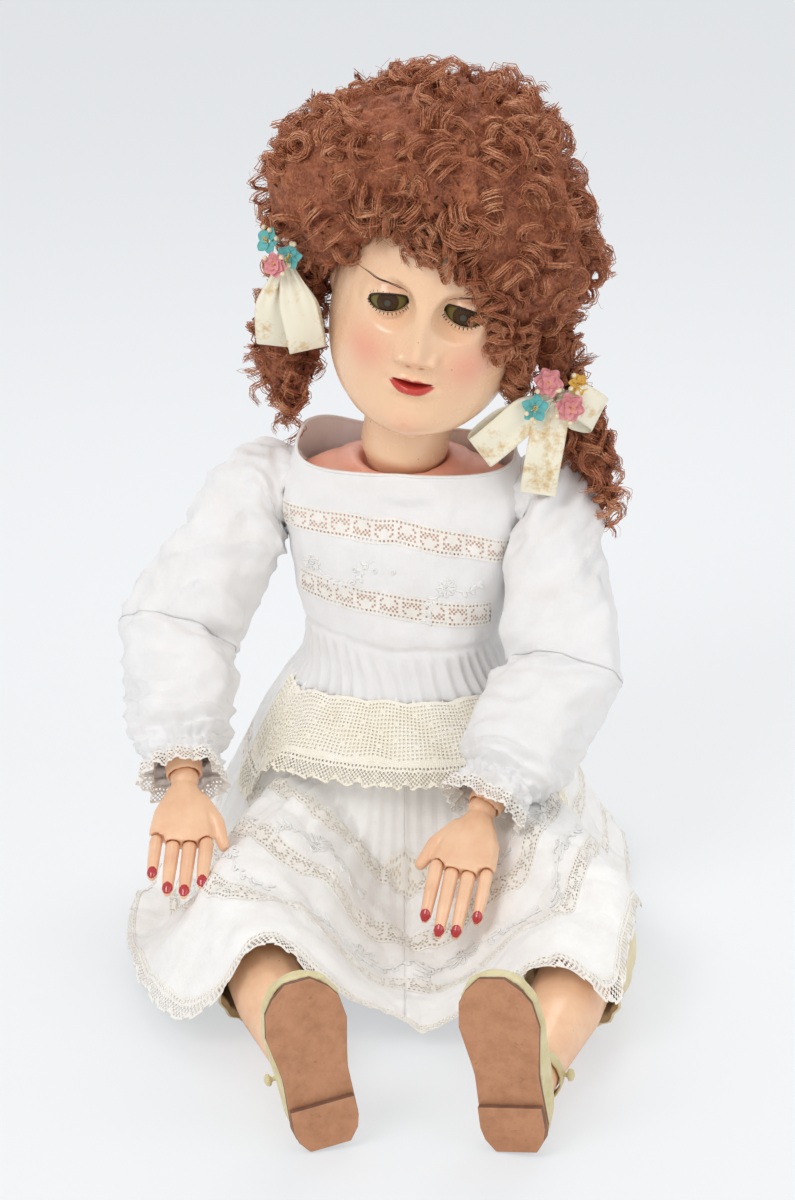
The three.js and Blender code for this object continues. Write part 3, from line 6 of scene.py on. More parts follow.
import bmesh
import bpy
from mathutils import Matrix, Vector, noise
from mathutils.bvhtree import BVHTree
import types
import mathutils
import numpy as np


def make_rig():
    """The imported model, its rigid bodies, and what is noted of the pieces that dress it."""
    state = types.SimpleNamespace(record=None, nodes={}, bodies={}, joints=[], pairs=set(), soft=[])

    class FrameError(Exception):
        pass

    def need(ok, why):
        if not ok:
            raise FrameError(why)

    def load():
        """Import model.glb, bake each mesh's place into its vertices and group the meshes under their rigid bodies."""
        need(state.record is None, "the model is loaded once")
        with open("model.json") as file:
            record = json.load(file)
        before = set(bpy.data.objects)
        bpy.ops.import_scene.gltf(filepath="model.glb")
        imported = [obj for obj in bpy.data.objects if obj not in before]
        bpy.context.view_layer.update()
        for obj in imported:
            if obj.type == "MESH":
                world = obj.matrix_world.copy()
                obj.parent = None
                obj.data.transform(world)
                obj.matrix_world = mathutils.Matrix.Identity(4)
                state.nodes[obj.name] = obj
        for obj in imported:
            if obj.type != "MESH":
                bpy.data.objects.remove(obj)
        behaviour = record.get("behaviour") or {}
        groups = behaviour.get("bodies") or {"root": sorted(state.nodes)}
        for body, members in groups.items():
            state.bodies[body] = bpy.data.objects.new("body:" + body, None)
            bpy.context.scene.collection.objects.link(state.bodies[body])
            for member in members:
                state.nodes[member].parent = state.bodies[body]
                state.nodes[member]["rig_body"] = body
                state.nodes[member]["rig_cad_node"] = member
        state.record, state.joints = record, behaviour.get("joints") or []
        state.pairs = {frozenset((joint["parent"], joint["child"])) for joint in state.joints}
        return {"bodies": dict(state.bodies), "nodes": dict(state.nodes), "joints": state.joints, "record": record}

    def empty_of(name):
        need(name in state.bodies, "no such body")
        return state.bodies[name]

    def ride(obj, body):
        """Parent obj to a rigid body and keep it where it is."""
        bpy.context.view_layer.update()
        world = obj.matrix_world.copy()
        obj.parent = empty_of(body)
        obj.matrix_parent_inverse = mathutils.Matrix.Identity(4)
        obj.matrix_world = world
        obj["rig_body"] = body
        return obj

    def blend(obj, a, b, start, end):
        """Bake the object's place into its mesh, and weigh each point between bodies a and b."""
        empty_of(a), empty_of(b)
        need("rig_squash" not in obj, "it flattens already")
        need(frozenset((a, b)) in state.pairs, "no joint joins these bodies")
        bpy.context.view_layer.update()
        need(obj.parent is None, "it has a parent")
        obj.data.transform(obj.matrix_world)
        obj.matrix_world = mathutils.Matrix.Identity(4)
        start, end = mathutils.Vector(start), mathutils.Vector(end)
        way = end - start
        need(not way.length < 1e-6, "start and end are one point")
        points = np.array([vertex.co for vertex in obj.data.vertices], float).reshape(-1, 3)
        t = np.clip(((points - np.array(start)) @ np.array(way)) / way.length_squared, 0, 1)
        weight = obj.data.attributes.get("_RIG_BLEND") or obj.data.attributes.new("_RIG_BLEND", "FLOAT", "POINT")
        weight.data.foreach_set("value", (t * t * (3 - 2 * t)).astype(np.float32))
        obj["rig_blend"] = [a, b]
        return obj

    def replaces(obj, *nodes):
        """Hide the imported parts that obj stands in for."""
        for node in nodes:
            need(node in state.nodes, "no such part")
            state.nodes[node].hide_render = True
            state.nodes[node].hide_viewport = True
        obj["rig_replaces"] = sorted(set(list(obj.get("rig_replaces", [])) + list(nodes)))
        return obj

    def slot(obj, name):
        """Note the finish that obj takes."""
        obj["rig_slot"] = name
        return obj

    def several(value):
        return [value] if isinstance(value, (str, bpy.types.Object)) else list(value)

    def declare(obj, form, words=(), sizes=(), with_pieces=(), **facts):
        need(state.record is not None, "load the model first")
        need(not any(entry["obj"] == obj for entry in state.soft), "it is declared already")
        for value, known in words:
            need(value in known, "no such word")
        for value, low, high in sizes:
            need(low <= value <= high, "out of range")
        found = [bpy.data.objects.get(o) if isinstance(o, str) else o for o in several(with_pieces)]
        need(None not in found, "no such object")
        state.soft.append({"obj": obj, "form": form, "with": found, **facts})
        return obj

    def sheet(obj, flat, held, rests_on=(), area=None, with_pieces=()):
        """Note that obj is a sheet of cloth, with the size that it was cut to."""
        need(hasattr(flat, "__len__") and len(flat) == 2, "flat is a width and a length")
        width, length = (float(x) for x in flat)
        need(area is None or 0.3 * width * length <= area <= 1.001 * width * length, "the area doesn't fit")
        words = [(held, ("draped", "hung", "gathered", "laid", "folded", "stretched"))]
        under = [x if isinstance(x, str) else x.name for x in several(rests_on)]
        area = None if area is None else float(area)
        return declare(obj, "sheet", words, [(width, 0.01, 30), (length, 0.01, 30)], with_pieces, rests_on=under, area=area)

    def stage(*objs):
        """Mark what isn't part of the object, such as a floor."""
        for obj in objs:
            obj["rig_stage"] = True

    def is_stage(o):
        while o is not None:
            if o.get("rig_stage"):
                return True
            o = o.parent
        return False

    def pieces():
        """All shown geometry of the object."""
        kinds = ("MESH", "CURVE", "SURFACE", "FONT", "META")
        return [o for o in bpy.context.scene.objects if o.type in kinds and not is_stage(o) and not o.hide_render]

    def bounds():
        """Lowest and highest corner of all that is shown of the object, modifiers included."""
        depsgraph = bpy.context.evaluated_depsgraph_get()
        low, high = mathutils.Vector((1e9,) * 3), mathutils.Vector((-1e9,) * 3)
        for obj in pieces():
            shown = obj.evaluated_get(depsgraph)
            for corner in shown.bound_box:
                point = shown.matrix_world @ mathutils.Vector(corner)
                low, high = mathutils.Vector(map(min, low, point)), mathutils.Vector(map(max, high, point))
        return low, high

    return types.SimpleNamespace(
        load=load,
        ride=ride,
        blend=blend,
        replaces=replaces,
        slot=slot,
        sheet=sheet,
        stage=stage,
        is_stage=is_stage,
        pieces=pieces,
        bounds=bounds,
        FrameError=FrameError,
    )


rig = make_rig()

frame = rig.load()
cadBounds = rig.bounds()
nodes = frame["nodes"]
mm = 0.001

pose = {"torsoYaw": -8, "torsoShift": 5, "neckHeight": 300, "neckForward": 4, "headTurn": 3, "headRoll": 10.2,
        "headNod": 11}
torsoMatrix = (Matrix.Translation((pose["torsoShift"] * mm, 0, 0))
               @ Matrix.Rotation(math.radians(pose["torsoYaw"]), 4, "Z") @ Matrix.Scale(mm, 4))
headMatrix = (torsoMatrix @ Matrix.Translation((0, -pose["neckForward"], pose["neckHeight"]))
              @ Matrix.Rotation(math.radians(pose["headTurn"]), 4, "Z")
              @ Matrix.Rotation(math.radians(pose["headRoll"]), 4, "Y")
              @ Matrix.Rotation(math.radians(pose["headNod"]), 4, "X"))


def mix(a, b, t):
    return a + (b - a) * t


def smooth(t):
    t = min(1.0, max(0.0, t))
    return t * t * (3 - 2 * t)


def along(table, at):
    # Reads a table of [position, value] pairs, straight between them.
    if at <= table[0][0]:
        return table[0][1]
    for (low, first), (high, second) in zip(table, table[1:]):
        if at < high:
            return mix(first, second, (at - low) / (high - low))
    return table[-1][1]


def curvedAlong(table, at):
    # The same with a smooth curve through the values, which may be lists.
    last = len(table) - 1
    if at <= table[0][0]:
        return list(table[0][1:])
    if at >= table[last][0]:
        return list(table[last][1:])
    i = max(k for k in range(last) if table[k][0] <= at)
    t = (at - table[i][0]) / (table[i + 1][0] - table[i][0])
    before, here, there, after = (table[min(last, max(0, k))] for k in (i - 1, i, i + 1, i + 2))
    out = []
    for a, b, c, d in zip(before[1:], here[1:], there[1:], after[1:]):
        square, cube = 2 * a - 5 * b + 4 * c - d, 3 * b - a - 3 * c + d
        out.append(0.5 * (2 * b + (c - a) * t + square * t * t + cube * t ** 3))
    return out


def colourOf(text):
    # sRGB hex to the linear values that Blender works in.
    channels = [int(text[i:i + 2], 16) / 255 for i in (1, 3, 5)]
    return [c / 12.92 if c <= 0.04045 else ((c + 0.055) / 1.055) ** 2.4 for c in channels] + [1.0]


def mixColour(a, b, t):
    return [mix(x, y, t) for x, y in zip(a, b)]


def addNode(tree, kind, values=None, links=None, **settings):
    node = tree.nodes.new(kind)
    for name, value in settings.items():
        setattr(node, name, value)
    for socket, value in (values or {}).items():
        node.inputs[socket].default_value = value
    for socket, source in (links or {}).items():
        tree.links.new(source, node.inputs[socket])
    return node


def mathOf(tree, operation, first, second):
    # A sum of two sockets; the second may be a plain number
    values, links = ({1: second}, {0: first}) if isinstance(second, float) else ({}, {0: first, 1: second})
    return addNode(tree, "ShaderNodeMath", values, links, operation=operation).outputs[0]


def startMaterial(name, **shaderValues):
    # A new material, its node tree, its Principled shader and the object coordinates.
    material = bpy.data.materials.new(name)
    material.use_nodes = True
    tree = material.node_tree
    shader = tree.nodes["Principled BSDF"]
    for socket, value in shaderValues.items():
        shader.inputs[socket.replace("_", " ")].default_value = value
    place = addNode(tree, "ShaderNodeTexCoord").outputs["Object"]
    return material, tree, shader, place


def linkMesh(bm, name, matrix=None):
    mesh = bpy.data.meshes.new(name)
    if matrix is not None:
        bm.transform(matrix)
    bm.to_mesh(mesh)
    bm.free()
    piece = bpy.data.objects.new(name, mesh)
    bpy.context.scene.collection.objects.link(piece)
    return piece


def shadeSmooth(piece):
    for polygon in piece.data.polygons:
        polygon.use_smooth = True


def finishMesh(piece, material, body=None, slot=None, smoothShaded=True):
    if smoothShaded and piece.type == "MESH":
        shadeSmooth(piece)
    piece.data.materials.clear()
    piece.data.materials.append(material)
    if body:
        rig.ride(piece, body)
    if slot:
        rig.slot(piece, slot)
    return piece


def applyModifiers(piece):
    evaluated = piece.evaluated_get(bpy.context.evaluated_depsgraph_get())
    mesh = bpy.data.meshes.new_from_object(evaluated)
    piece.modifiers.clear()
    old = piece.data
    piece.data = mesh
    bpy.data.meshes.remove(old)
    mesh.name = piece.name
    return piece


def addModifier(piece, kind, **settings):
    modifier = piece.modifiers.new(kind.title(), kind)
    for name, value in settings.items():
        setattr(modifier, name, value)
    return modifier


def smoothCopy(nodeName, newName, voxel, passes, factor=0.5):
    # A rounded copy of a CAD solid: merged, remeshed fine and smoothed.
    bm = bmesh.new()
    bm.from_mesh(nodes[nodeName].data)
    bmesh.ops.remove_doubles(bm, verts=bm.verts, dist=1e-6)
    piece = linkMesh(bm, newName)
    addModifier(piece, "REMESH", mode="VOXEL", voxel_size=voxel * mm)
    addModifier(piece, "SMOOTH", iterations=passes, factor=factor)
    applyModifiers(piece)
    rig.replaces(piece, nodeName)
    return piece


def addCurves(name, strands, thickness, material, body, slot, cyclic=False):
    # Many thin rods in one piece: each strand is a list of (point in metres, share of the thickness).
    curve = bpy.data.curves.new(name, "CURVE")
    curve.dimensions = "3D"
    curve.bevel_depth = thickness * mm
    curve.bevel_resolution = 0
    curve.use_fill_caps = True
    for strand in strands:
        spline = curve.splines.new("POLY")
        spline.points.add(len(strand) - 1)
        spline.points.foreach_set("co", [c for point,
                                         _ in strand for c in (point[0], point[1], point[2], 1.0)])
        spline.points.foreach_set("radius", [share for _, share in strand])
        spline.use_cyclic_u = cyclic
    piece = bpy.data.objects.new(name, curve)
    bpy.context.scene.collection.objects.link(piece)
    curve.materials.append(material)
    if body:
        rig.ride(piece, body)
    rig.slot(piece, slot)
    return piece


def asMesh(curvePiece):
    # The same rods as a mesh, for cloth that bends over a joint.
    evaluated = curvePiece.evaluated_get(bpy.context.evaluated_depsgraph_get())
    mesh = bpy.data.meshes.new_from_object(evaluated)
    piece = bpy.data.objects.new(curvePiece.name + "Mesh", mesh)
    bpy.context.scene.collection.objects.link(piece)
    bpy.data.objects.remove(curvePiece)
    return piece


print("stage: camera, floor and light")
camera = {"elevation": 20, "distance": 2.1, "targetHeight": 0.188, "lens": 92.3}
cameraData = bpy.data.cameras.new("photoCamera")
cameraData.lens = camera["lens"]
cameraData.sensor_width = 36
cameraObject = bpy.data.objects.new("photoCamera", cameraData)
rise = math.radians(camera["elevation"])
cameraObject.location = (0, -camera["distance"] * math.cos(rise),
                         camera["targetHeight"] + camera["distance"] * math.sin(rise))
cameraObject.rotation_euler = (math.radians(90) - rise, 0, 0)
bpy.context.scene.collection.objects.link(cameraObject)
bpy.context.scene.camera = cameraObject
bpy.context.scene.view_settings.view_transform = "Standard"

light = {
    "backdrop": "#e4e9ef", "floor": "#f4f5f6", "floorSeen": "#eef1f4", "worldStrength": 0.62,
    "paperGlow": 0.62, "aim": (0, -0.1, 0.22),
    "lamps": [  # name, place, size, watts
        ("keyLamp", (-1.1, -1.5, 1.9), 1.0, 20),
        ("fillLamp", (1.5, -1.3, 1.2), 1.4, 8),
        ("topLamp", (0.2, 0.9, 1.9), 1.1, 11),
    ],
}
world = bpy.data.worlds.new("paleStudio")
bpy.context.scene.world = world
world.use_nodes = True
worldTree = world.node_tree
worldTree.nodes.clear()
rays = addNode(worldTree, "ShaderNodeLightPath")
seen = mathOf(worldTree, "MAXIMUM", rays.outputs["Is Camera Ray"], rays.outputs["Is Glossy Ray"])
seen = mathOf(worldTree, "MAXIMUM", seen, rays.outputs["Is Transmission Ray"])
lit = addNode(worldTree, "ShaderNodeBackground", {0: colourOf("#ffffff"), 1: light["worldStrength"]})
shown = addNode(worldTree, "ShaderNodeBackground", {0: colourOf(light["backdrop"]), 1: 1.0})
both = addNode(worldTree, "ShaderNodeMixShader", links={0: seen, 1: lit.outputs[0], 2: shown.outputs[0]})
addNode(worldTree, "ShaderNodeOutputWorld", links={0: both.outputs[0]})

# A matt paper floor: soft, pale, only there to carry the shadow.
floorMaterial, tree, shader, place = startMaterial("mattPaperFloor", Roughness=0.9)
shader.inputs["Base Color"].default_value = colourOf(light["floor"])
paperGlow = addNode(tree, "ShaderNodeEmission", {"Color": colourOf(light["floorSeen"])})
seenPaper = mathOf(tree, "MULTIPLY", addNode(tree, "ShaderNodeLightPath").outputs["Is Camera Ray"],
                   light["paperGlow"])
paperSeen = addNode(tree, "ShaderNodeMixShader",
                    links={0: seenPaper, 1: shader.outputs[0], 2: paperGlow.outputs[0]})
tree.links.new(paperSeen.outputs[0], tree.nodes["Material Output"].inputs["Surface"])
bm = bmesh.new()
bmesh.ops.create_grid(bm, x_segments=1, y_segments=1, size=6)
floor = linkMesh(bm, "paperFloor", Matrix.Translation((0, 2.5, -0.0002)))
floor.data.materials.append(floorMaterial)
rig.stage(floor)

for lampName, place, size, watts in light["lamps"]:
    lampData = bpy.data.lights.new(lampName, "AREA")
    lampData.size = size
    lampData.energy = watts
    lamp = bpy.data.objects.new(lampName, lampData)
    lamp.location = place
    lamp.rotation_euler = (Vector(light["aim"]) - Vector(place)).to_track_quat("-Z", "Y").to_euler()
    bpy.context.scene.collection.objects.link(lamp)

print("stage: finishes")


def feed(tree, socket, source):
    # A socket takes a link, a hex colour or a plain number.
    if isinstance(source, str):
        socket.default_value = colourOf(source)
    elif isinstance(source, float):
        socket.default_value = source
    else:
        tree.links.new(source, socket)


def feedShader(tree, shader, **sources):
    for name, source in sources.items():
        feed(tree, shader.inputs[name.replace("_", " ")], source)


def cloudOf(tree, place, size, detail, roughness=0.5, distortion=0.0):
    # Clouds of a size in millimetres
    values = {"Scale": 1 / (size * mm), "Detail": detail, "Roughness": roughness, "Distortion": distortion}
    return addNode(tree, "ShaderNodeTexNoise", values, {"Vector": place}).outputs[0]


def levels(tree, source, low=0.0, high=1.0, start=0.0, end=1.0):
    # A value's part between low and high, stretched from start to end
    values = {"From Min": low, "From Max": high, "To Min": start, "To Max": end}
    return addNode(tree, "ShaderNodeMapRange", values, {"Value": source}).outputs[0]


def mixShades(tree, share, first, second):
    node = addNode(tree, "ShaderNodeMix", data_type="RGBA")
    for socket, source in ((0, share), (6, first), (7, second)):
        feed(tree, node.inputs[socket], source)
    return node.outputs[2]


def reliefOf(tree, height, strength, depth, under=None):
    # A bump of a depth in millimetres, on top of another one if it is given
    links = {"Height": height, "Normal": under} if under is not None else {"Height": height}
    return addNode(tree, "ShaderNodeBump", {"Strength": strength, "Distance": depth * mm}, links).outputs[0]


# Pressed pulp composition under oil paint and varnish: warm, slightly mottled, with age specks
# and a fine uneven gloss.
paint = {"mottleSize": 18, "speckPitch": 7, "speckSize": 0.16, "speckShare": 0.56, "grain": 2.2}


def paintedComposition(name, base, deep, speck="#7a4a30", roughness=0.34, attribute=None):
    material, tree, shader, place = startMaterial(name, Coat_Weight=0.25, Coat_Roughness=0.2)
    mottle = cloudOf(tree, place, paint["mottleSize"], 5.0, 0.6)
    if attribute:
        base = addNode(tree, "ShaderNodeAttribute", attribute_name=attribute).outputs["Color"]
        deep = mixShades(tree, 0.12, base, deep)
    under = mixShades(tree, levels(tree, mottle, 0.38, 0.72), base, deep)
    cells = addNode(tree, "ShaderNodeTexVoronoi", {"Scale": 1 / (paint["speckPitch"] * mm)},
                    {"Vector": place})
    dots = levels(tree, cells.outputs["Distance"], 0.03, paint["speckSize"] * 0.6, 0.7, 0.0)
    some = mathOf(tree, "GREATER_THAN", cloudOf(tree, place, 11, 1.0), paint["speckShare"])
    feedShader(tree, shader, Base_Color=mixShades(tree, mathOf(tree, "MULTIPLY", dots, some), under, speck),
               Roughness=levels(tree, mottle, start=roughness - 0.06, end=roughness + 0.12),
               Normal=reliefOf(tree, cloudOf(tree, place, paint["grain"], 3.0), 0.12, 0.6))
    return material


limbPaint = paintedComposition("paintedLimbComposition", "#f5c9a3", "#ecb690")
bodyPaint = paintedComposition("paintedBodyComposition", "#f2b49c", "#e89a80", roughness=0.4)
headPaint = paintedComposition("varnishedHeadComposition", "#f0c49d", "#dd9a72", roughness=0.24,
                               attribute="paintColour")


def woven(name, base, shade, threads, roughness=0.85, alpha=1.0, sheen=0.25, weave=0.25):
    # Plain cloth: threads is the pitch in millimetres, drawn coarser than the real one so that it shows.
    material, tree, shader, place = startMaterial(name, Roughness=roughness, Sheen_Weight=sheen, Alpha=alpha)
    waves = []
    for direction in ("X", "Z"):
        values = {"Scale": 1 / (threads * mm) / 3.2, "Distortion": 1.2, "Detail": 1.0}
        wave = addNode(tree, "ShaderNodeTexWave", values, {"Vector": place}, bands_direction=direction)
        waves.append(wave.outputs["Fac"])
    cloth = reliefOf(tree, mathOf(tree, "ADD", *waves), weave, 0.3)
    feedShader(tree, shader, Base_Color=mixShades(tree,
                                                  levels(tree, cloudOf(tree, place, 30, 6.0, 0.65), 0.4,
                                                         0.75),
                                                  base, shade),
               Normal=reliefOf(tree, cloudOf(tree, place, 9, 4.0, 0.55), 0.3, 1.5, cloth))
    return material


# Sheer cotton lawn: the pink body under it shows a little.
batiste = woven("sheerCottonBatiste", "#fbfafa", "#f4f2f1", 0.9, alpha=0.9)
batisteOpaque = woven("doubledBatiste", "#fbfaf8", "#f0edea", 0.9)
laceThread = woven("cottonLace", "#fbf8f2", "#f0eae0", 0.7, weave=0.4)
dottedNet = woven("creamCottonNet", "#fdf8ec", "#f7eed8", 1.4, weave=0.5)
creamCotton = woven("creamCottonDrawers", "#ece0bd", "#ddcda2", 1.0)


def leather(name, base, worn, stain, roughness, creaseSize):
    # Smooth tanned hide: fine creases, darker scuffs and a dull uneven gloss.
    material, tree, shader, place = startMaterial(name)
    patch = cloudOf(tree, place, 14, 6.0, 0.7)
    ground = mixShades(tree, levels(tree, patch, 0.42, 0.66), base, worn)
    scuff = cloudOf(tree, place, 5, 8.0, 0.75, 1.4)
    crease = addNode(tree, "ShaderNodeTexVoronoi", {"Scale": 1 / (creaseSize * mm)}, {"Vector": place},
                     feature="DISTANCE_TO_EDGE")
    feedShader(tree, shader, Base_Color=mixShades(tree, levels(tree, scuff, 0.6, 0.7), ground, stain),
               Roughness=levels(tree, patch, start=roughness - 0.1, end=roughness + 0.15),
               Normal=reliefOf(tree, crease.outputs[0], 0.25, 0.5))
    return material


creamLeather = leather("creamGlaceLeather", "#ddd3a8", "#cfc08c", "#a8935c", 0.42, 6)
soleLeather = leather("scuffedSoleLeather", "#c08a66", "#ad7855", "#8f5f45", 0.6, 3)


def plainFinish(name, base, shade, roughness, metallic=0.0, scale=6):
    # An even material, a little lighter and duller in clouds
    material, tree, shader, place = startMaterial(name, Metallic=metallic)
    cloud = cloudOf(tree, place, scale, 4.0)
    feedShader(tree, shader, Base_Color=mixShades(tree, cloud, base, shade),
               Roughness=levels(tree, cloud, start=roughness * 0.75, end=min(1.0, roughness * 1.3)))
    return material


turnedWood = plainFinish("turnedBeech", "#c79d69", "#a97e4e", 0.55)
cordCotton = plainFinish("cottonCoveredElastic", "#d8cdb8", "#c2b59b", 0.9)
steelWire = plainFinish("drawnSteelWire", "#9a9c9f", "#77797c", 0.35, metallic=1.0)
castLead = plainFinish("castLead", "#74767a", "#56585b", 0.6, metallic=1.0)
corkSheet = plainFinish("corkSheet", "#b98f61", "#94683f", 0.9, scale=3)
toothGlaze = plainFinish("glazedTeeth", "#f6f0e2", "#eadfca", 0.15)
rosePetal = plainFinish("dyedRoseCotton", "#f0b4b4", "#dc8d92", 0.75)
bluePetal = plainFinish("dyedTurquoiseCotton", "#7cc6c2", "#4ea3a6", 0.75)
yellowPetal = plainFinish("dyedYellowCotton", "#e6c25a", "#cf8f3a", 0.75)
glassBead = plainFinish("pearlBead", "#f4ead2", "#d9c394", 0.12)
stemWire = plainFinish("brownPaperWire", "#7a4a2c", "#5c351e", 0.8)
paintedLine = plainFinish("paintedBrownLine", "#5a3322", "#3e2115", 0.35)
darkLash = plainFinish("paintedDarkLash", "#2a1610", "#1a0d09", 0.4)


def mohair(name, deep, middle, light, roughness=0.5):
    # Curled mohair: auburn, each lock a little lighter or darker, with a soft silky shine.
    material, tree, shader, place = startMaterial(name, Roughness=roughness, Sheen_Weight=0.35,
                                                  Sheen_Roughness=0.4)
    both = mathOf(tree, "ADD", cloudOf(tree, place, 16, 3.0), cloudOf(tree, place, 1.6, 2.0))
    ramp = addNode(tree, "ShaderNodeValToRGB", links={0: levels(tree, both, 0.72, 1.28)})
    ramp.color_ramp.elements[0].color = colourOf(deep)
    ramp.color_ramp.elements[1].color = colourOf(light)
    ramp.color_ramp.elements.new(0.5).color = colourOf(middle)
    feedShader(tree, shader, Sheen_Tint="#d79c7c", Base_Color=ramp.outputs[0])
    return material


curlHair = mohair("curledMohair", "#86462c", "#b66d46", "#daa27a")
# The roots take darker copies of the curl colours: painted shade under the curls.
shadedRootHair = mohair("mohairUnderlayer", "#683622", "#945336", "#b06e4a", roughness=0.8)

# Silk satin ribbon: ivory, glossy along its folds, with old yellow-brown stains.
satin, tree, shader, place = startMaterial("stainedSilkSatin", Roughness=0.36, Sheen_Weight=0.3,
                                           Anisotropic=0.5)
stain = levels(tree, cloudOf(tree, place, 17, 5.0, 0.7), 0.52, 0.68)
feedShader(tree, shader, Base_Color=mixShades(tree, stain, "#f0ead4", "#d3ad68"),
           Normal=reliefOf(tree, cloudOf(tree, place, 0.8, 2.0), 0.1, 0.3))

print("stage: head")

# All head sizes are millimetres in the head's own frame: origin in the neck ball, face to -Y.
head = {
    "across": 224, "up": 184, "eyeSpan": 24.3, "eyeUp": 131, "eyeBack": -49, "eyeRadius": 13.5, "eyeDroop": 0.11,
    "lidRadius": 14.7, "lidBlend": 9, "mouthUp": 81.4, "mouthHalf": 13.5,
    # Rings of height, half width, front, back
    "rings": [
        (31, 12, -36, 4), (33, 19, -44, 8), (37, 30, -55.5, 20), (44, 42, -62.5, 34), (54, 52, -66, 48),
        (66, 58.6, -67, 59), (81, 62.6, -67.5, 68), (96, 64.2, -68, 74), (110, 64.4, -68.6, 78), (124, 64, -69.8, 80),
        (140, 61.8, -68, 78), (156, 57.8, -63.5, 73), (170, 52, -56.8, 67), (182, 44.6, -48, 58), (192, 35.8, -37.5, 47),
        (200, 25.4, -24, 35), (205, 14, -11, 21), (207.2, 2, 3, 7),
    ],
    "neck": [[-25, 4], [-22, 13], [-14, 23], [0, 29.5], [24, 29.5], [34, 30], [44, 31], [56, 32]],
    "rowHeights": [[0, -25], [0.03, -21], [0.08, -5], [0.13, 20], [0.17, 30], [0.2, 32.5], [0.25, 36],
                   [0.3, 41],
                   [0.34, 47], [0.42, 62], [0.62, 96], [0.82, 135], [0.9, 163], [0.95, 186], [0.98, 201], [1, 207.2]],
    # Rounded swellings and hollows: centre, reach on each axis, how far out
    "swells": [
        ((0, -70, 120), (5.8, 12, 18), 6.4), ((0, -72, 106), (8.6, 12, 8), 7.8), ((0, -74, 101), (11.5, 14, 5.6), 5.8),
        ((11, -69, 100), (4.6, 9, 4.6), 5.6), ((-11, -69, 100), (4.6, 9, 4.6), 5.6),
        ((16.6, -66, 102), (2.6, 8, 4.8), -1.6), ((-16.6, -66, 102), (2.6, 8, 4.8), -1.6),
        ((34, -50, 94), (21, 22, 19), 3.4), ((-34, -50, 94), (21, 22, 19), 3.4),
        ((0, -66, 83), (20, 12, 13), 2.2),
        ((4.8, -69, 86.0), (6.6, 9, 2.3), 2.2), ((-4.8, -69, 86.0), (6.6, 9, 2.3), 2.2),
        ((0, -69, 91.5), (2.1, 9, 4.4), -1.1),
        ((0, -68, 77), (9.4, 9, 3), 3.6), ((0, -66, 70.6), (10, 9, 2.8), -1.9),
        ((16.4, -62, 81.5), (3, 9, 3.6), -1.5), ((-16.4, -62, 81.5), (3, 9, 3.6), -1.5),
        ((0, -62, 51), (12.5, 14, 10), 4.8), ((0, -68, 51), (2.4, 9, 3), -0.9),
        ((0, -68, 160), (40, 22, 22), 1.6),
    ],
}


def ringReach(height, turn):
    # How far the head's skin lies from its upright axis in one direction; turn 0 is the front.
    neckReach = along(head["neck"], height) if height < 60 else 0
    if height < head["rings"][0][0]:
        return neckReach
    half, front, back = curvedAlong(head["rings"], height)
    middle = (front + back) / 2
    depth = (back - front) / 2
    s, c = math.sin(turn), math.cos(turn)
    a = (s / half) ** 2 + (c / depth) ** 2
    b = 2 * c * middle / depth ** 2
    inside = b * b - 4 * a * ((middle / depth) ** 2 - 1)
    jawReach = (-b + math.sqrt(inside)) / (2 * a) if inside > 0 else 0
    if not neckReach:
        return jawReach
    blend = 3.0
    top = max(neckReach, jawReach)
    both = math.exp((neckReach - top) / blend) + math.exp((jawReach - top) / blend)
    return top + blend * math.log(both) * 0.6


def headPoint(height, turn):
    reach = ringReach(height, turn)
    return Vector((reach * math.sin(turn), -reach * math.cos(turn), height))


def eyeOutline(side, grow=0.0, steps=40):
    # The almond opening, from the inner corner round: the upper lid arches more than the lower.
    points = []
    half, up, down = 12.4 + grow, 6.3 + grow, 5.5 + grow
    for i in range(steps):
        angle = 2 * math.pi * i / steps
        x = math.cos(angle)
        z = math.sin(angle)
        height = up * (abs(z) ** 0.86) if z > 0 else -down * (abs(z) ** 0.95)
        points.append((side * head["eyeSpan"] + half * x,
                       head["eyeUp"] + height - head["eyeDroop"] * half * x * side))
    return points


bm = bmesh.new()
bmesh.ops.create_uvsphere(bm, u_segments=head["across"], v_segments=head["up"], radius=1)
for vertex in bm.verts:
    x, y, z = vertex.co
    share = 1 - math.acos(max(-1, min(1, z))) / math.pi
    u = math.atan2(x, -y) / math.pi
    turn = math.pi * (0.46 * u + 0.54 * u ** 3)
    height = along(head["rowHeights"], share)
    vertex.co = headPoint(height, turn)
bmesh.ops.smooth_vert(bm, verts=[v for v in bm.verts if 28 < v.co.z < 60], factor=0.5,
                      use_axis_x=True, use_axis_y=True, use_axis_z=True)
bm.normal_update()
for vertex in bm.verts:
    move = Vector()
    for centre, reach, out in head["swells"]:
        offset = [(vertex.co[k] - centre[k]) / reach[k] for k in range(3)]
        away = offset[0] ** 2 + offset[1] ** 2 + offset[2] ** 2
        if away < 9 and vertex.co.y < 0:
            move += (vertex.normal * 0.5 + Vector((0, -0.5, 0))).normalized() * out * math.exp(-away * 1.1)
    vertex.co += move
for vertex in bm.verts:
    # The lids lie close over the glass eyes and run out into the brow and the cheek.
    x, y, z = vertex.co
    off = math.hypot(abs(x) - head["eyeSpan"], z - head["eyeUp"])
    if y < 0 and off < 13 + head["lidBlend"]:
        lid = head["eyeBack"] - math.sqrt(head["lidRadius"] ** 2 - min(off, 12.4) ** 2)
        vertex.co.y = mix(y, lid, 1 - smooth((off - 11.5) / head["lidBlend"]))
bm.normal_update()
headBase = linkMesh(bm, "headBase")
faceTree = BVHTree.FromPolygons([v.co[:] for v in headBase.data.vertices],
                                [p.vertices[:] for p in headBase.data.polygons])


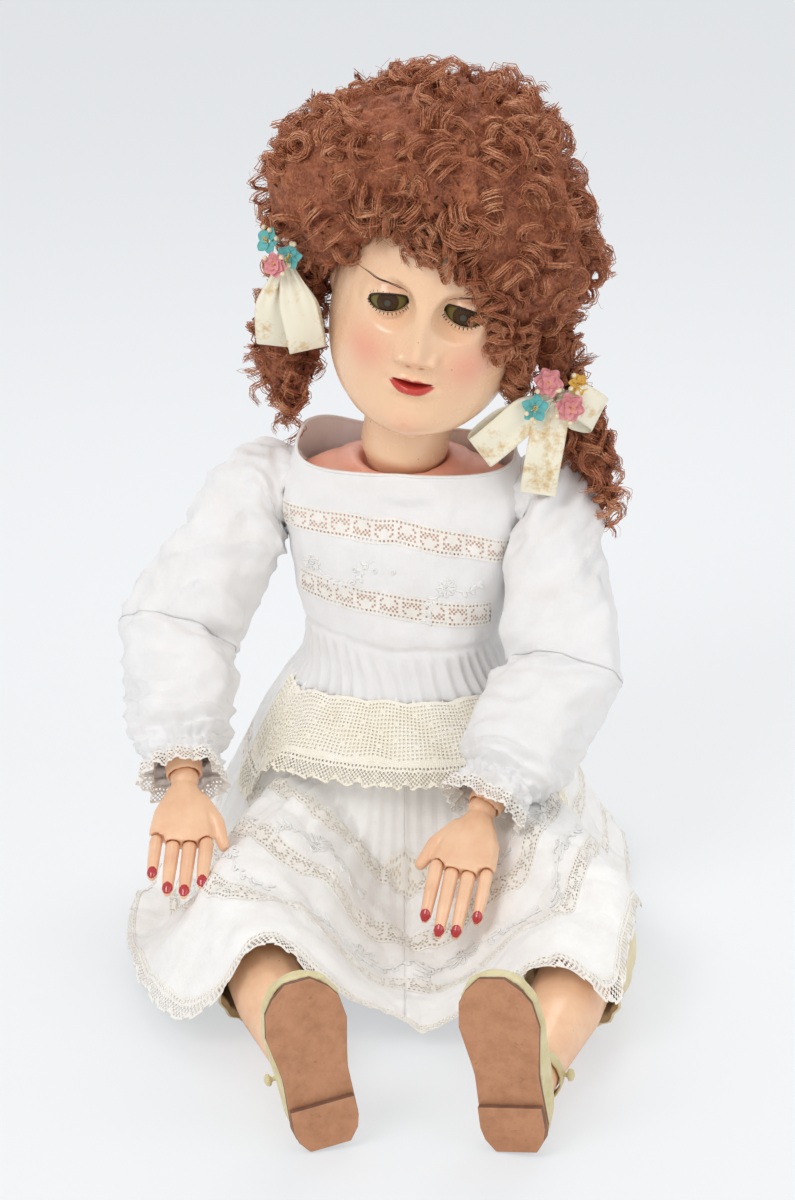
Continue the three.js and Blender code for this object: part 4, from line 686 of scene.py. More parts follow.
def onFace(x, z, lift=0.0):
    # The point of the face that lies behind a place seen from the front.
    hit, normal, _, _ = faceTree.ray_cast(Vector((x, -140, z)), Vector((0, 1, 0)))
    return hit + normal * lift


def prism(outline, front, back):
    bm = bmesh.new()
    ring = [bm.verts.new((x, front, z)) for x, z in outline]
    face = bm.faces.new(ring)
    pushed = bmesh.ops.extrude_face_region(bm, geom=[face])
    bmesh.ops.translate(bm, vec=(0, back - front, 0),
                        verts=[v for v in pushed["geom"] if isinstance(v, bmesh.types.BMVert)])
    bmesh.ops.recalc_face_normals(bm, faces=bm.faces)
    return linkMesh(bm, "cutter")


cutters = []
for side in (-1, 1):
    cutters.append(prism(eyeOutline(side), -90, head["eyeBack"] + 2))
    bm = bmesh.new()
    bmesh.ops.create_uvsphere(bm, u_segments=48, v_segments=32, radius=head["eyeRadius"] + 0.7)
    cutters.append(linkMesh(bm, "cutter", Matrix.Translation((side * head["eyeSpan"], head["eyeBack"],
                                                              head["eyeUp"]))))
mouthOutline = []
for i in range(36):
    angle = 2 * math.pi * i / 36
    x = head["mouthHalf"] * math.cos(angle)
    wide = abs(math.sin(angle))
    lift = 2.5 * wide ** 1.2 - 0.5 * math.exp(-(x / 2.6) ** 2) if math.sin(angle) > 0 else -2.6 * wide ** 1.3
    mouthOutline.append((x, head["mouthUp"] + 0.6 + lift + 0.006 * x * x))
cutters.append(prism(mouthOutline, -95, -52))
for cutter in cutters:
    addModifier(headBase, "BOOLEAN", operation="DIFFERENCE", solver="EXACT", object=cutter)
    applyModifiers(headBase)
    bpy.data.objects.remove(cutter)

# Paint, vertex by vertex: blush, lips, nostrils and the fine lines at the eyes, with painted shade inside the mouth
# and on the walls of the eye openings.
face = {"skin": "#f2c9a4", "blush": "#e7907c", "lip": "#c5302a", "mouthInside": "#1c0506",
        "crease": "#c98868",
        "socket": "#2a1812", "forehead": "#f3cda9", "nostril": "#9c4a3a", "lipTop": 86.0, "lipLow": 73.4,
        # Airbrushed spots, the same both sides: colour, strength, middle (out, up) and reach (out, up)
        "spots": [("blush", 0.62, (33, 97), (15, 15)), ("blush", 0.3, (0, 50), (12, 9)),
                  ("blush", 0.25, (0, 101), (5, 5)), ("crease", 0.55, (24.3, 141.5), (12, 2.2))],
        "nostrilSpot": ("nostril", 0.9, (4.2, 94.8), (1.8, 1.2))}
paintLayer = headBase.data.color_attributes.new("paintColour", "FLOAT_COLOR", "POINT")
skin, blush, lip = (colourOf(face[k]) for k in ("skin", "blush", "lip"))


def addSpot(colour, spot, out, up):
    name, strength, (middleOut, middleUp), (reachOut, reachUp) = spot
    share = strength * math.exp(-((out - middleOut) / reachOut) ** 2 - ((up - middleUp) / reachUp) ** 2)
    return mixColour(colour, colourOf(face[name]), share)


for i, vertex in enumerate(headBase.data.vertices):
    x, y, z = vertex.co
    ax = abs(x)
    colour = mixColour(skin, colourOf(face["forehead"]), smooth((z - 135) / 40))
    if y < 0:
        for spot in face["spots"]:
            colour = addSpot(colour, spot, ax, z)
        bow = 0.8 * math.exp(-((ax - 4.4) / 3.2) ** 2) - 0.8 * math.exp(-(x / 1.8) ** 2)
        upper = face["lipTop"] + bow - 0.022 * x * x
        lower = face["lipLow"] + 0.034 * x * x
        lips = smooth((upper - z) / 1.1 + 0.5) * smooth((z - lower) / 1.1 + 0.5) * smooth((16 - ax) / 1.2)
        colour = mixColour(colour, lip, lips)
        # Inside the mouth: dark red paint darkened almost to black, which paints the shade in the mouth.
        if y > -66.5 + 0.028 * ax * ax and abs(z - 82) < 5 and ax < 14.2:
            colour = colourOf(face["mouthInside"])
        colour = addSpot(colour, face["nostrilSpot"], ax, z)
        behind = Vector((ax - head["eyeSpan"], y - head["eyeBack"], z - head["eyeUp"])).length
        eyeOff = math.hypot(ax - head["eyeSpan"], z - head["eyeUp"])
        # Painted shade: the walls of the eye openings around the glass eyes are painted near black.
        if y > -61.5 and eyeOff < 15 and behind < 14.6:
            colour = colourOf(face["socket"])
    paintLayer.data[i].color = colour
headBase.data.transform(headMatrix)
headBase.name = "headComposition"
finishMesh(headBase, headPaint, "head", "head_composition")
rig.replaces(headBase, "head_shell")

# Ears: a rimmed shell with a hollow, one each side.
ear = {"up": 113, "back": 5, "out": 60.5, "size": (7.5, 9.5, 15.5)}
for side, name in ((-1, "R"), (1, "L")):
    bm = bmesh.new()
    bmesh.ops.create_uvsphere(bm, u_segments=64, v_segments=48, radius=1)
    for vertex in bm.verts:
        p = vertex.co.copy()
        out = p.x * side
        radius = math.hypot(p.y, p.z)
        hollow = -0.42 * math.exp(-((radius - 0.42) / 0.24) ** 2) * smooth(out * 2)
        inner = 0.16 * math.exp(-((radius - 0.62) / 0.08) ** 2) * smooth(out * 2)
        narrow = 1 - 0.24 * smooth((0.2 - p.z) / 1.2)
        vertex.co = Vector(((p.x + side * (hollow + inner)) * ear["size"][0], p.y * ear["size"][1] * narrow,
                            p.z * ear["size"][2]))
    lean = Matrix.Translation((side * ear["out"], ear["back"],
                               ear["up"])) @ Matrix.Rotation(math.radians(side * 14), 4, "Z")
    piece = linkMesh(bm, "ear" + name, headMatrix @ lean)
    layer = piece.data.color_attributes.new("paintColour", "FLOAT_COLOR", "POINT")
    for item in layer.data:
        item.color = mixColour(skin, blush, 0.25)
    finishMesh(piece, headPaint, "head", "head_composition")

# Brows, lashes and lid lines: thin painted strokes that lie on the face.
strokes = {"brow": [], "lash": []}


def stroke(kind, places, widest, lift=0.06):
    points = []
    for i, (x, z) in enumerate(places):
        share = i / (len(places) - 1)
        swell = 0.25 + 0.75 * math.sin(math.pi * min(1, share * 0.9 + 0.08))
        points.append((headMatrix @ onFace(x, z, lift), widest * swell))
    strokes[kind].append(points)


for side in (-1, 1):
    arch = [(side * mix(13, 49, k / 22), 140.2 + 3.8 * math.sin(math.pi * 0.72 * k / 22)) for k in range(23)]
    stroke("brow", arch, 1.0)
    stroke("brow", [(x, z + 0.7) for x, z in arch[3:-4]], 0.6)
    for k in range(14):
        t = k / 13
        angle = math.radians(mix(196, 344, t))
        x = side * head["eyeSpan"] + 12.4 * math.cos(angle)
        z = head["eyeUp"] + 5.9 * math.sin(angle)
        out = Vector((math.cos(angle) * 0.55, math.sin(angle)))
        stroke("lash", [(x + out.x * s, z + out.y * s) for s in (0.2, 1.2, 2.4, 3.4)], 0.85)
    for k in range(9):
        t = k / 8
        angle = math.radians(mix(20, 160, t))
        x = side * head["eyeSpan"] + 12.4 * math.cos(angle)
        z = head["eyeUp"] + 6.4 * abs(math.sin(angle)) ** 0.86
        lean = Vector((math.cos(angle) * 0.8, 1))
        stroke("lash", [(x + lean.x * s, z + lean.y * s) for s in (0.1, 0.5, 1.0, 1.5)], 0.3)
    ring = [onFace(x, z, 0.02) for x, z in eyeOutline(side, 0.35, 60)]
    upperHalf = [(headMatrix @ p, 1.3 if p.z > head["eyeUp"] + 0.5 else 0.6) for p in ring]
    strokes["lash"].append(upperHalf + upperHalf[:1])
addCurves("paintedBrows", strokes["brow"], 0.4, paintedLine, "head", "head_composition")
addCurves("paintedLashes", strokes["lash"], 0.46, darkLash, "head", "head_composition")

# Blown glass eyes: dark brown iris, a grey pupil that is partly clouded glass and partly a painted reflection,
# yellowed white.
eyeLook = {"white": "#6f6536", "ring": "#120b08", "iris": "#24130c", "streak": "#5c3a22", "pupil": "#47453f",
           "haze": "#8b7d58", "bulge": 6.6, "irisRadius": 6.9, "ringRadius": 6.7, "pupilRadius": 2.4,
           "lidHeight": 9.5}
for side, name in ((-1, "R"), (1, "L")):
    bm = bmesh.new()
    bmesh.ops.create_uvsphere(bm, u_segments=96, v_segments=72, radius=head["eyeRadius"])
    bmesh.ops.rotate(bm, verts=bm.verts, matrix=Matrix.Rotation(math.radians(90), 3, "X"))
    for vertex in bm.verts:
        off = math.hypot(vertex.co.x, vertex.co.z)
        if vertex.co.y < 0 and off < eyeLook["bulge"]:
            vertex.co.y -= 0.5 * smooth((eyeLook["bulge"] - off) / 5)
    placed = Matrix.Translation((side * head["eyeSpan"], head["eyeBack"], head["eyeUp"]))
    eyeBall = linkMesh(bm, "glassEye" + name)
    layer = eyeBall.data.color_attributes.new("paintColour", "FLOAT_COLOR", "POINT")
    for i, vertex in enumerate(eyeBall.data.vertices):
        x, y, z = vertex.co
        off = math.hypot(x, z - 0.4)
        colour = colourOf(eyeLook["white"])
        if y < 0:
            streak = 0.5 + 0.5 * math.sin(math.atan2(x, z) * 23)
            iris = mixColour(colourOf(eyeLook["iris"]), colourOf(eyeLook["streak"]), 0.6 * streak)
            ring, pupil = colourOf(eyeLook["ring"]), colourOf(eyeLook["pupil"])
            colour = mixColour(colour, iris, smooth((eyeLook["irisRadius"] - off) / 0.5))
            colour = mixColour(colour, ring, smooth(1 - abs(off - eyeLook["ringRadius"]) / 0.7) * 0.9)
            # The grey pupil disc: partly clouded glass, partly a painted reflection.
            colour = mixColour(colour, pupil, smooth((eyeLook["pupilRadius"] - off) / 0.5))
            colour = mixColour(colour, ring, smooth(1 - abs(off - eyeLook["pupilRadius"] - 0.2) / 0.5) * 0.9)
        if z > eyeLook["lidHeight"]:
            colour = skin
        layer.data[i].color = colour
    eyeBall.data.transform(headMatrix @ placed)
    eyeGlass, tree, shader, place = startMaterial("blownEyeGlass" + name, Roughness=0.16, IOR=1.4,
                                                  Specular_IOR_Level=0.2,
                                                  Coat_Roughness=0.03)
    painted = addNode(tree, "ShaderNodeAttribute", attribute_name="paintColour").outputs["Color"]
    haze = levels(tree, cloudOf(tree, place, 2.5, 3.0), end=0.12)
    feedShader(tree, shader, Base_Color=mixShades(tree, haze, painted, eyeLook["haze"]))
    finishMesh(eyeBall, eyeGlass, "eyes", "eye_glass")
    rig.replaces(eyeBall, "eye_" + name)

print("stage: body and limbs")

# The inside pieces and joint balls keep their CAD shape and take their real material.
finishes = {
    "turned_wood": turnedWood, "elastic_cord": cordCotton, "steel_wire": steelWire, "lead_weight": castLead,
    "cork": corkSheet, "tooth_porcelain": toothGlaze, "body_composition": bodyPaint, "limb_composition": limbPaint,
}
for part in frame["record"]["subparts"]:
    if part["material_slot"] in finishes:
        data = nodes[part["node"]].data
        for index in range(len(data.materials)):
            data.materials[index] = finishes[part["material_slot"]]

# Places from the CAD part, in millimetres in the world
limbs = {
    "R": {"shoulder": (-89.1, 13.2, 264), "elbow": (-150, -32.3, 173.8), "wrist": (-139.1, -125.5, 109.1),
          "hip": (-42.2, -5.5, 45), "knee": (-97.3, -203.9, 38.1), "heel": (-43.1, -408.2, 22.2)},
    "L": {"shoulder": (99.1, -13.2, 264), "elbow": (110.6, -71.9, 162.3), "wrist": (54.8, -146.5, 96.6),
          "hip": (48.9, -18.3, 45), "knee": (126.1, -209.2, 38.3), "heel": (67.6, -412.3, 21.6)},
}


def place(side, name):
    return Vector(limbs[side][name]) * mm


torsoSkin = smoothCopy("torso_shell", "torsoComposition", 3.3, 3)
fromTorso = torsoMatrix.inverted()
for vertex in torsoSkin.data.vertices:
    # The neck socket stands a little wider than the neck that turns in it.
    local = fromTorso @ vertex.co
    reach = math.hypot(local.x, local.y + pose["neckForward"])
    if reach > 5:
        out = 5.5 * smooth((local.z - 262) / 14) * (1 - smooth((reach - 36) / 12))
        local.x *= (reach + out) / reach
        local.y = (local.y + pose["neckForward"]) * (reach + out) / reach - pose["neckForward"]
        vertex.co = torsoMatrix @ local
finishMesh(torsoSkin, bodyPaint, "torso", "body_composition")

copies = [("upper_arm", "upperArm", 1.7, 4), ("forearm", "forearm", 1.6, 4), ("hand", "palm", 0.92, 8),
          ("upper_leg", "thigh", 2.4, 4), ("lower_leg", "shin", 2.0, 5)]
for side in ("R", "L"):
    for nodeName, newName, voxel, passes in copies:
        piece = smoothCopy(f"{nodeName}_{side}", newName + side, voxel, passes)
        finishMesh(piece, limbPaint, f"{nodeName}_{side}", "limb_composition")

# Red varnish on each finger nail, a thin raised oval on the back of the tip.
nail = {"length": 7.6, "start": 0.5, "half": 3.3, "lift": 0.22, "bury": 0.4, "facing": (0, -0.34, 0.94)}
nailVarnish, tree, shader, coordinates = startMaterial("redNailVarnish", Roughness=0.2, Coat_Weight=0.6)
chips = levels(tree, cloudOf(tree, coordinates, 1.5, 4.0), 0.6, 0.66)
feedShader(tree, shader, Base_Color=mixShades(tree, chips, "#b8252a", "#8e1a1f"))


def makeNail(finger, name, body, wrist):
    points = [v.co for v in finger.data.vertices]
    tip = max(points, key=lambda p: (p - wrist).length)
    base = min(points, key=lambda p: (p - wrist).length)
    line = (tip - base).normalized()
    up = Vector(nail["facing"])
    up = (up - line * up.dot(line)).normalized()
    across = line.cross(up)
    near = [p for p in points if (tip - p).dot(line) < 9 * mm]
    middle = sum(near, Vector()) / len(near)
    bm = bmesh.new()
    bm.from_mesh(finger.data)
    half = nail["length"] / 2
    away = []
    for polygon in bm.faces:
        at = polygon.calc_center_median()
        share = ((tip - at).dot(line) / mm - nail["start"] - half) / half
        wide = abs((at - middle).dot(across)) / mm
        beside = abs(share) >= 1 or wide > nail["half"] * math.sqrt(1 - share * share)
        if beside or (at - middle).dot(up) < 0.8 * mm:
            away.append(polygon)
    bmesh.ops.delete(bm, geom=away, context="FACES")
    for vertex in bm.verts:
        vertex.co += vertex.normal * nail["lift"] * mm
    piece = linkMesh(bm, name)
    addModifier(piece, "SOLIDIFY", thickness=(nail["lift"] + nail["bury"]) * mm, offset=-1)
    applyModifiers(piece)
    finishMesh(piece, nailVarnish, body, "limb_composition")


for side in ("R", "L"):
    for finger in ("index", "middle", "ring", "little"):
        body = f"{finger}_finger_{side}"
        piece = smoothCopy(body, finger + "Finger" + side, 0.68, 6)
        finishMesh(piece, limbPaint, body, "limb_composition")
        makeNail(piece, finger + "Nail" + side, body, place(side, "wrist"))

print("stage: shoes")
shoe = {"edge": 0.7, "darkEdge": 0.75}
edgeLeather = leather("darkSoleEdge", "#7d5a47", "#6c4a39", "#54372a", 0.65, 3)


def beveledCopy(nodeName, newName, width):
    # The CAD solid with its edges eased, as cut leather wears.
    bm = bmesh.new()
    bm.from_mesh(nodes[nodeName].data)
    bmesh.ops.remove_doubles(bm, verts=bm.verts, dist=1e-6)
    bmesh.ops.dissolve_limit(bm, angle_limit=math.radians(2), verts=bm.verts, edges=bm.edges)
    sharp = [e for e in bm.edges if len(e.link_faces) == 2 and e.calc_face_angle(0) > math.radians(40)]
    bmesh.ops.bevel(bm, geom=sharp, offset=width * mm, segments=2, profile=0.5, affect="EDGES", material=-1,
                    clamp_overlap=True)
    piece = linkMesh(bm, newName)
    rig.replaces(piece, nodeName)
    return piece


for side in ("R", "L"):
    body = "lower_leg_" + side
    upper = smoothCopy("shoe_upper_" + side, "shoeUpper" + side, 1.4, 4)
    finishMesh(upper, creamLeather, body, "cream_leather")
    strap = smoothCopy("shoe_strap_" + side, "shoeStrap" + side, 0.8, 2)
    finishMesh(strap, creamLeather, body, "cream_leather")
    downwards = (place(side, "heel") - place(side, "knee")).normalized()
    for nodeName, newName in (("shoe_sole_", "shoeSole"), ("shoe_heel_", "heelLift")):
        piece = beveledCopy(nodeName + side, newName + side, shoe["edge"])
        finishMesh(piece, soleLeather, body, "sole_leather", smoothShaded=False)
        piece.data.materials.append(edgeLeather)
        for polygon in piece.data.polygons:
            if abs(polygon.normal.dot(downwards)) < shoe["darkEdge"]:
                polygon.material_index = 1

print("stage: mohair")
hair = {
    "noise": 6.5, "guides": 315, "strands": 14, "steps": 13, "thickness": 0.33, "spread": 2.7,
    "radius": (5.4, 9.4), "length": (14, 26), "turns": (1.3, 2.2), "fuzz": 700, "pieceSegments": 24000,
    "voxel": 3.0, "apart": 4.5, "seed": 11, "downwards": 0.25,
}
# How the strands of one curl part from its middle line, as shares of the spread and as radians
curl = {
    "lift": 0.55, "offset": 0.55, "slide": 0.5, "phase": 0.16, "stray": 0.14,
    "thin": (0.55, 1.1), "back": 0.4, "flat": 0.85, "taper": 0.6,
}
hairMiddle = headMatrix @ Vector((0, 6, 95))


def roughHair(nodeName, newName, voxel):
    # The matted roots of the mohair under the curls, in darker colours that paint the shade among the curls.
    piece = smoothCopy(nodeName, newName, voxel, 4)
    for vertex in piece.data.vertices:
        at = vertex.co / mm
        depth = hair["noise"] * (0.35 + 0.8 * abs(noise.noise(at / 9)) + 0.5 * abs(noise.noise(at / 4)))
        vertex.co -= vertex.normal * depth * mm
    finishMesh(piece, shadedRootHair, "head", "mohair")
    return piece


def outerSpots(piece, count, seed):
    # Seeded spots spread by area over the outside of a piece, with the skin's normal at each.
    chance = random.Random(seed)
    piece.data.calc_loop_triangles()
    mesh = piece.data
    spots = []
    areas = []
    total = 0.0
    triangles = [t for t in mesh.loop_triangles
                 if t.normal.dot(mesh.vertices[t.vertices[0]].co - hairMiddle) > 0]
    for triangle in triangles:
        total += triangle.area
        areas.append(total)
    for _ in range(count * 3):
        triangle = triangles[min(bisect.bisect_left(areas, chance.random() * total), len(areas) - 1)]
        a, b = chance.random(), chance.random()
        if a + b > 1:
            a, b = 1 - a, 1 - b
        p, q, r = (mesh.vertices[v].co for v in triangle.vertices)
        at = p + (q - p) * a + (r - p) * b
        near = min(((at - other[0]).length for other in spots), default=1)
        if near > hair["apart"] * mm:
            spots.append((at, triangle.normal.copy()))
        if len(spots) >= count:
            break
    return spots


def ringlet(at, normal, course, chance, radius, length, turns, strands, steps, spread):
    # One curl: strands that follow a helix lying on the head, tighter towards its tip.
    course = course - normal * course.dot(normal)
    if course.length < 1e-4:
        course = normal.orthogonal()
    course.normalize()
    across = course.cross(normal)
    start = chance.uniform(0, 2 * math.pi)
    turning = chance.choice((-1, 1))
    lift = radius * curl["lift"]
    lines = []
    for _ in range(strands):
        offset = chance.gauss(0, curl["offset"]) * spread
        slide = chance.gauss(0, curl["slide"]) * spread
        phase = start + chance.gauss(0, curl["phase"])
        thin = chance.uniform(*curl["thin"])
        stray = chance.gauss(0, curl["stray"])
        line = []
        for i in range(steps):
            t = i / (steps - 1)
            angle = phase + turning * turns * 2 * math.pi * t
            size = (radius * (0.8 + 0.25 * math.sin(math.pi * t)) + offset) * (1 + stray * t)
            point = (course * (length * (t - curl["back"]) + slide) + across * math.sin(angle) * size
                     + normal * (lift + math.cos(angle) * size * curl["flat"]))
            line.append((at + point * mm, thin * (1 - curl["taper"] * t ** 4)))
        lines.append(line)
    return lines


def curlsOver(name, root, count, seed, radius, length, turns, strands, downwards, steps=None, keep=None):
    # Curls all over a piece; downwards is how far they keep to hanging straight.
    chance = random.Random(seed)
    lines = []
    for at, normal in outerSpots(root, count, seed + 1):
        if keep and not keep(at):
            continue
        swirl = Vector((chance.gauss(0, 1), chance.gauss(0, 1), chance.gauss(0, 1)))
        course = Vector((0, 0, -1)) * downwards + swirl * (1 - downwards)
        lines += ringlet(at, normal, course, chance, chance.uniform(*radius), chance.uniform(*length),
                         chance.uniform(*turns), strands, steps or hair["steps"], hair["spread"])
    addLocks(name, lines)


def addLocks(name, lines):
    # Strands in as many pieces as keeps each one light.
    groups = [[]]
    room = hair["pieceSegments"]
    for line in lines:
        if room < len(line):
            groups.append([])
            room = hair["pieceSegments"]
        groups[-1].append(line)
        room -= len(line) - 1
    for index, group in enumerate(groups):
        addCurves(f"{name}{index}", group, hair["thickness"], curlHair, "head", "mohair")


def besideFace(at):
    # The face stays clear, but curls hang over the outer part of its left eye.
    local = headMatrix.inverted() @ at
    if local.y > -38 or local.z > 152:
        return True
    return local.x > 41 or local.x < -46


wigRoots = roughHair("wig", "mohairRoots", hair["voxel"])
curlsOver("wigCurls", wigRoots, hair["guides"], hair["seed"], hair["radius"], hair["length"], hair["turns"],
          hair["strands"], hair["downwards"], keep=besideFace)

# Single hairs that stand off the curls
wisp = {"seed": 5, "spots": 31, "scatter": 0.6, "reach": (7, 17), "wave": (2, 6), "turn": 5, "steps": 8,
        "thin": 0.55}
wispChance = random.Random(wisp["seed"])
wisps = []
for at, normal in outerSpots(wigRoots, hair["fuzz"], wisp["spots"]):
    if not besideFace(at):
        continue
    away = (normal + Vector([wispChance.gauss(0, wisp["scatter"]) for _ in range(3)])).normalized()
    bend = away.cross(Vector([wispChance.gauss(0, 1) for _ in range(3)])).normalized()
    reach = wispChance.uniform(*wisp["reach"])
    wave = wispChance.uniform(*wisp["wave"])
    phase = wispChance.uniform(0, 6)
    line = []
    for i in range(wisp["steps"] + 1):
        t = i / wisp["steps"]
        turned = phase + t * wisp["turn"]
        point = away * reach * t + bend * wave * (math.sin(turned) - math.sin(phase)) * t
        point += bend.cross(away) * wave * (math.cos(turned) - math.cos(phase)) * t
        line.append((at + point * mm, wisp["thin"] * (1 - curl["taper"] * t)))
    wisps.append(line)
addCurves("flyawayMohair", wisps, hair["thickness"], curlHair, "head", "mohair")

pigtail = {
    "voxel": 2.4, "guides": 64, "radius": (4.4, 7.4), "length": (22, 38), "strands": 12, "steps": 15,
    "downwards": 0.78, "seeds": {"R": 51, "L": 71},
}
for side, seed in pigtail["seeds"].items():
    roots = roughHair("pigtail_" + side, "pigtailRoots" + side, pigtail["voxel"])
    curlsOver("pigtailCurls" + side, roots, pigtail["guides"], seed, pigtail["radius"], pigtail["length"],
              hair["turns"], pigtail["strands"], pigtail["downwards"], steps=pigtail["steps"])

# The fringe: curls along the hairline, down over the outer part of the left eye to the jaw.
fringe = {
    "line": [(-64, 148), (-60, 161), (-46, 170), (-32, 173), (-18, 169), (-7, 164), (6, 160), (17, 156),
             (26, 146),
             (31, 135), (36, 125), (41, 115), (47, 105), (53, 95), (59, 85), (63, 72)],
    "spacing": 5.2, "rows": [(0, 0), (8, 4), (17, 6)], "strands": 15, "steps": 14, "seed": 8,
    "out": 5, "scatter": 1.5, "lift": 1.5, "widest": 58, "radius": (4.6, 8), "length": (12, 20),
    "turns": (1.4, 2.4), "spread": 2.3,
}
chance = random.Random(fringe["seed"])
fringeLines = []
faceMiddle = Vector((0, 105))
for outRow, liftRow in fringe["rows"]:
    for (ax, az), (bx, bz) in zip(fringe["line"], fringe["line"][1:]):
        steps = max(1, round(math.hypot(bx - ax, bz - az) / fringe["spacing"]))
        for k in range(steps):
            x = mix(ax, bx, (k + chance.random()) / steps)
            z = mix(az, bz, (k + chance.random()) / steps)
            out = outRow + fringe["out"] + chance.gauss(0, fringe["scatter"])
            away = (Vector((x, z)) - faceMiddle).normalized() * out
            x, z = max(-fringe["widest"], min(fringe["widest"], x + away.x)), z + away.y
            if faceTree.ray_cast(Vector((x, -140, z)), Vector((0, 1, 0)))[0] is None:
                continue
            at = onFace(x, z, fringe["lift"] + liftRow)
            normal = (headMatrix.to_3x3() @ (at - Vector((0, 6, 105)))).normalized()
            swirl = Vector((chance.gauss(0, 0.5), chance.gauss(0, 0.3), chance.gauss(-0.3, 0.5)))
            fringeLines += ringlet(headMatrix @ at, normal, swirl, chance, chance.uniform(*fringe["radius"]),
                                   chance.uniform(*fringe["length"]), chance.uniform(*fringe["turns"]),
                                   fringe["strands"], fringe["steps"], fringe["spread"])
addLocks("fringeCurls", fringeLines)
print("stage: dress")


def skinTree(piece):
    return BVHTree.FromPolygons([v.co for v in piece.data.vertices],
                                [p.vertices[:] for p in piece.data.polygons])


def keepOutside(point, tree, clearance, reach=14):
    # A point in millimetres that lies too near a skin, or inside it, moves out along the skin's normal.
    hit, normal, _, _ = tree.find_nearest(point * mm, reach * mm)
    if hit is None:
        return point
    depth = (point * mm - hit).dot(normal) / mm
    return point + normal * (clearance - depth) if depth < clearance else point


def wrinkle(point, size, seed=0.0):
    return noise.noise(Vector((point[0] / size + seed, point[1] / size - seed, point[2] / size + seed * 0.7)))


def gridMesh(name, rows, closed=False, holes=None, thickness=0.35):
    # A sheet through rows of points in millimetres; holes(row, column) leaves a cell out.
    bm = bmesh.new()
    verts = [[bm.verts.new(point * mm) for point in row] for row in rows]
    across = len(rows[0])
    for j in range(len(rows) - 1):
        for i in range(across if closed else across - 1):
            if holes and holes(j, i):
                continue
            k = (i + 1) % across
            bm.faces.new((verts[j][i], verts[j][k], verts[j + 1][k], verts[j + 1][i]))
    bmesh.ops.delete(bm, geom=[v for v in bm.verts if not v.link_faces], context="VERTS")
    bmesh.ops.recalc_face_normals(bm, faces=bm.faces)
    piece = linkMesh(bm, name)
    addModifier(piece, "SOLIDIFY", thickness=thickness * mm, offset=0)
    return applyModifiers(piece)


def joinPieces(name, pieces):
    bm = bmesh.new()
    for piece in pieces:
        bm.from_mesh(piece.data)
        bpy.data.objects.remove(piece)
    return linkMesh(bm, name)


# Thin sheets behind the open lace: pink behind the bodice lace that paints the lit skin seen through it, cream behind
# the skirt lace that paints the shade in its holes.
litSkinSheet = woven("blushLawn", "#f0c6ae", "#e8b59c", 0.9)
laceHoleShade = woven("creamLawn", "#ecdfcb", "#e2d2ba", 0.9)
bodyTree = skinTree(torsoSkin)

# The loose bodice: rings of [height, half width, front, back] in the torso's frame
bodice = {
    "rings": [[148, 61, -52, 48], [172, 67, -57, 54], [190, 70, -55, 54], [210, 73, -53, 53],
              [238, 79, -49, 51],
              [260, 88, -43, 48], [273, 87, -41, 45], [283, 82, -39.5, 42], [289, 79, -38.5, 40], [297, 75, -37, 38],
              [306, 70, -36, 37], [320, 65, -34, 36]],
    "square": 2.4, "neckline": 289, "rise": {"back": 11,
                                             "right": 10}, "low": 138.5, "gathers": 46, "flare": 16,
    "around": 250, "rows": 76, "armhole": 23,
    "seam": [[-64, 182], [0, 171], [60, 173]], "clearance": 1.5, "gatherDepth": 2.1, "seamDepth": 1.4,
    "wrinkles": [(3.4, 0.45, 24, 3.1), (1.2, 0.6, 9, 1.7)], "join": 172, "joinReach": 32,
}
insertions = [
    {"middle": [[-84, 257], [0, 252.5], [50, 243], [82, 233]], "from": -84, "to": 84},
    {"middle": [[-62, 211], [0, 203], [60, 194]], "from": -66, "to": 62},
]
insertionHeight = 17
laceCell = 1.42
skirtCells = {"front": 1.6, "back": 2.8}


def bodiceOutline(z, turn):
    half, front, back = curvedAlong(bodice["rings"], z)
    power = 2 / bodice["square"]
    forward = math.cos(turn)
    x = math.copysign(abs(math.sin(turn)) ** power, math.sin(turn)) * half
    y = -math.copysign(abs(forward) ** power, forward) * (-front if forward > 0 else back)
    return x, y


def bodicePoint(turn, z, lift=0.0):
    x, y = bodiceOutline(z, turn)
    seam = along(bodice["seam"], x) if y < 0 else 176
    below = smooth((seam - z) / 16)
    waver = turn * bodice["gathers"] + 2.2 * noise.noise(Vector((turn * 2.6, 4, 0)))
    pinch = math.exp(-((z - seam) / 2.2) ** 2)
    out = bodice["gatherDepth"] * below * math.cos(waver) - bodice["seamDepth"] * pinch
    out += sum(depth * wrinkle((x, y, z * squash), size, seed) for depth, squash, size,
               seed in bodice["wrinkles"])
    out = out * smooth((necklineAt(turn) - z) / 14) + lift
    reach = math.hypot(x, y)
    local = Vector((x * (reach + out) / reach, y * (reach + out) / reach, z))
    point = torsoMatrix @ local / mm
    point = keepOutside(point, bodyTree, bodice["clearance"] + lift)
    if z < bodice["join"]:
        joined = Vector(waistPoint(turn)) + Vector((0, 0, z))
        middle = Vector((pose["torsoShift"], -2, z))
        joined += (joined - middle).normalized() * (out + bodice["flare"])
        point = point.lerp(joined, min(1.0, (bodice["join"] - z) / bodice["joinReach"]) ** 1.2)
    return point


def necklineAt(turn):
    # The edge rises over the shoulders to the back of the neck, most at the right shoulder.
    x, y = bodiceOutline(bodice["neckline"] + 8, turn)
    rise = bodice["rise"]["back"] + bodice["rise"]["right"] * math.exp(-((x + 70) / 30) ** 2)
    return bodice["neckline"] + rise * smooth((y + 36) / 46)


def turnFor(x, z):
    # The turn on the front of the bodice at which it is x wide.
    half = curvedAlong(bodice["rings"], z)[0]
    share = min(1.0, abs(x) / half) ** (bodice["square"] / 2)
    return math.copysign(math.asin(share), x)


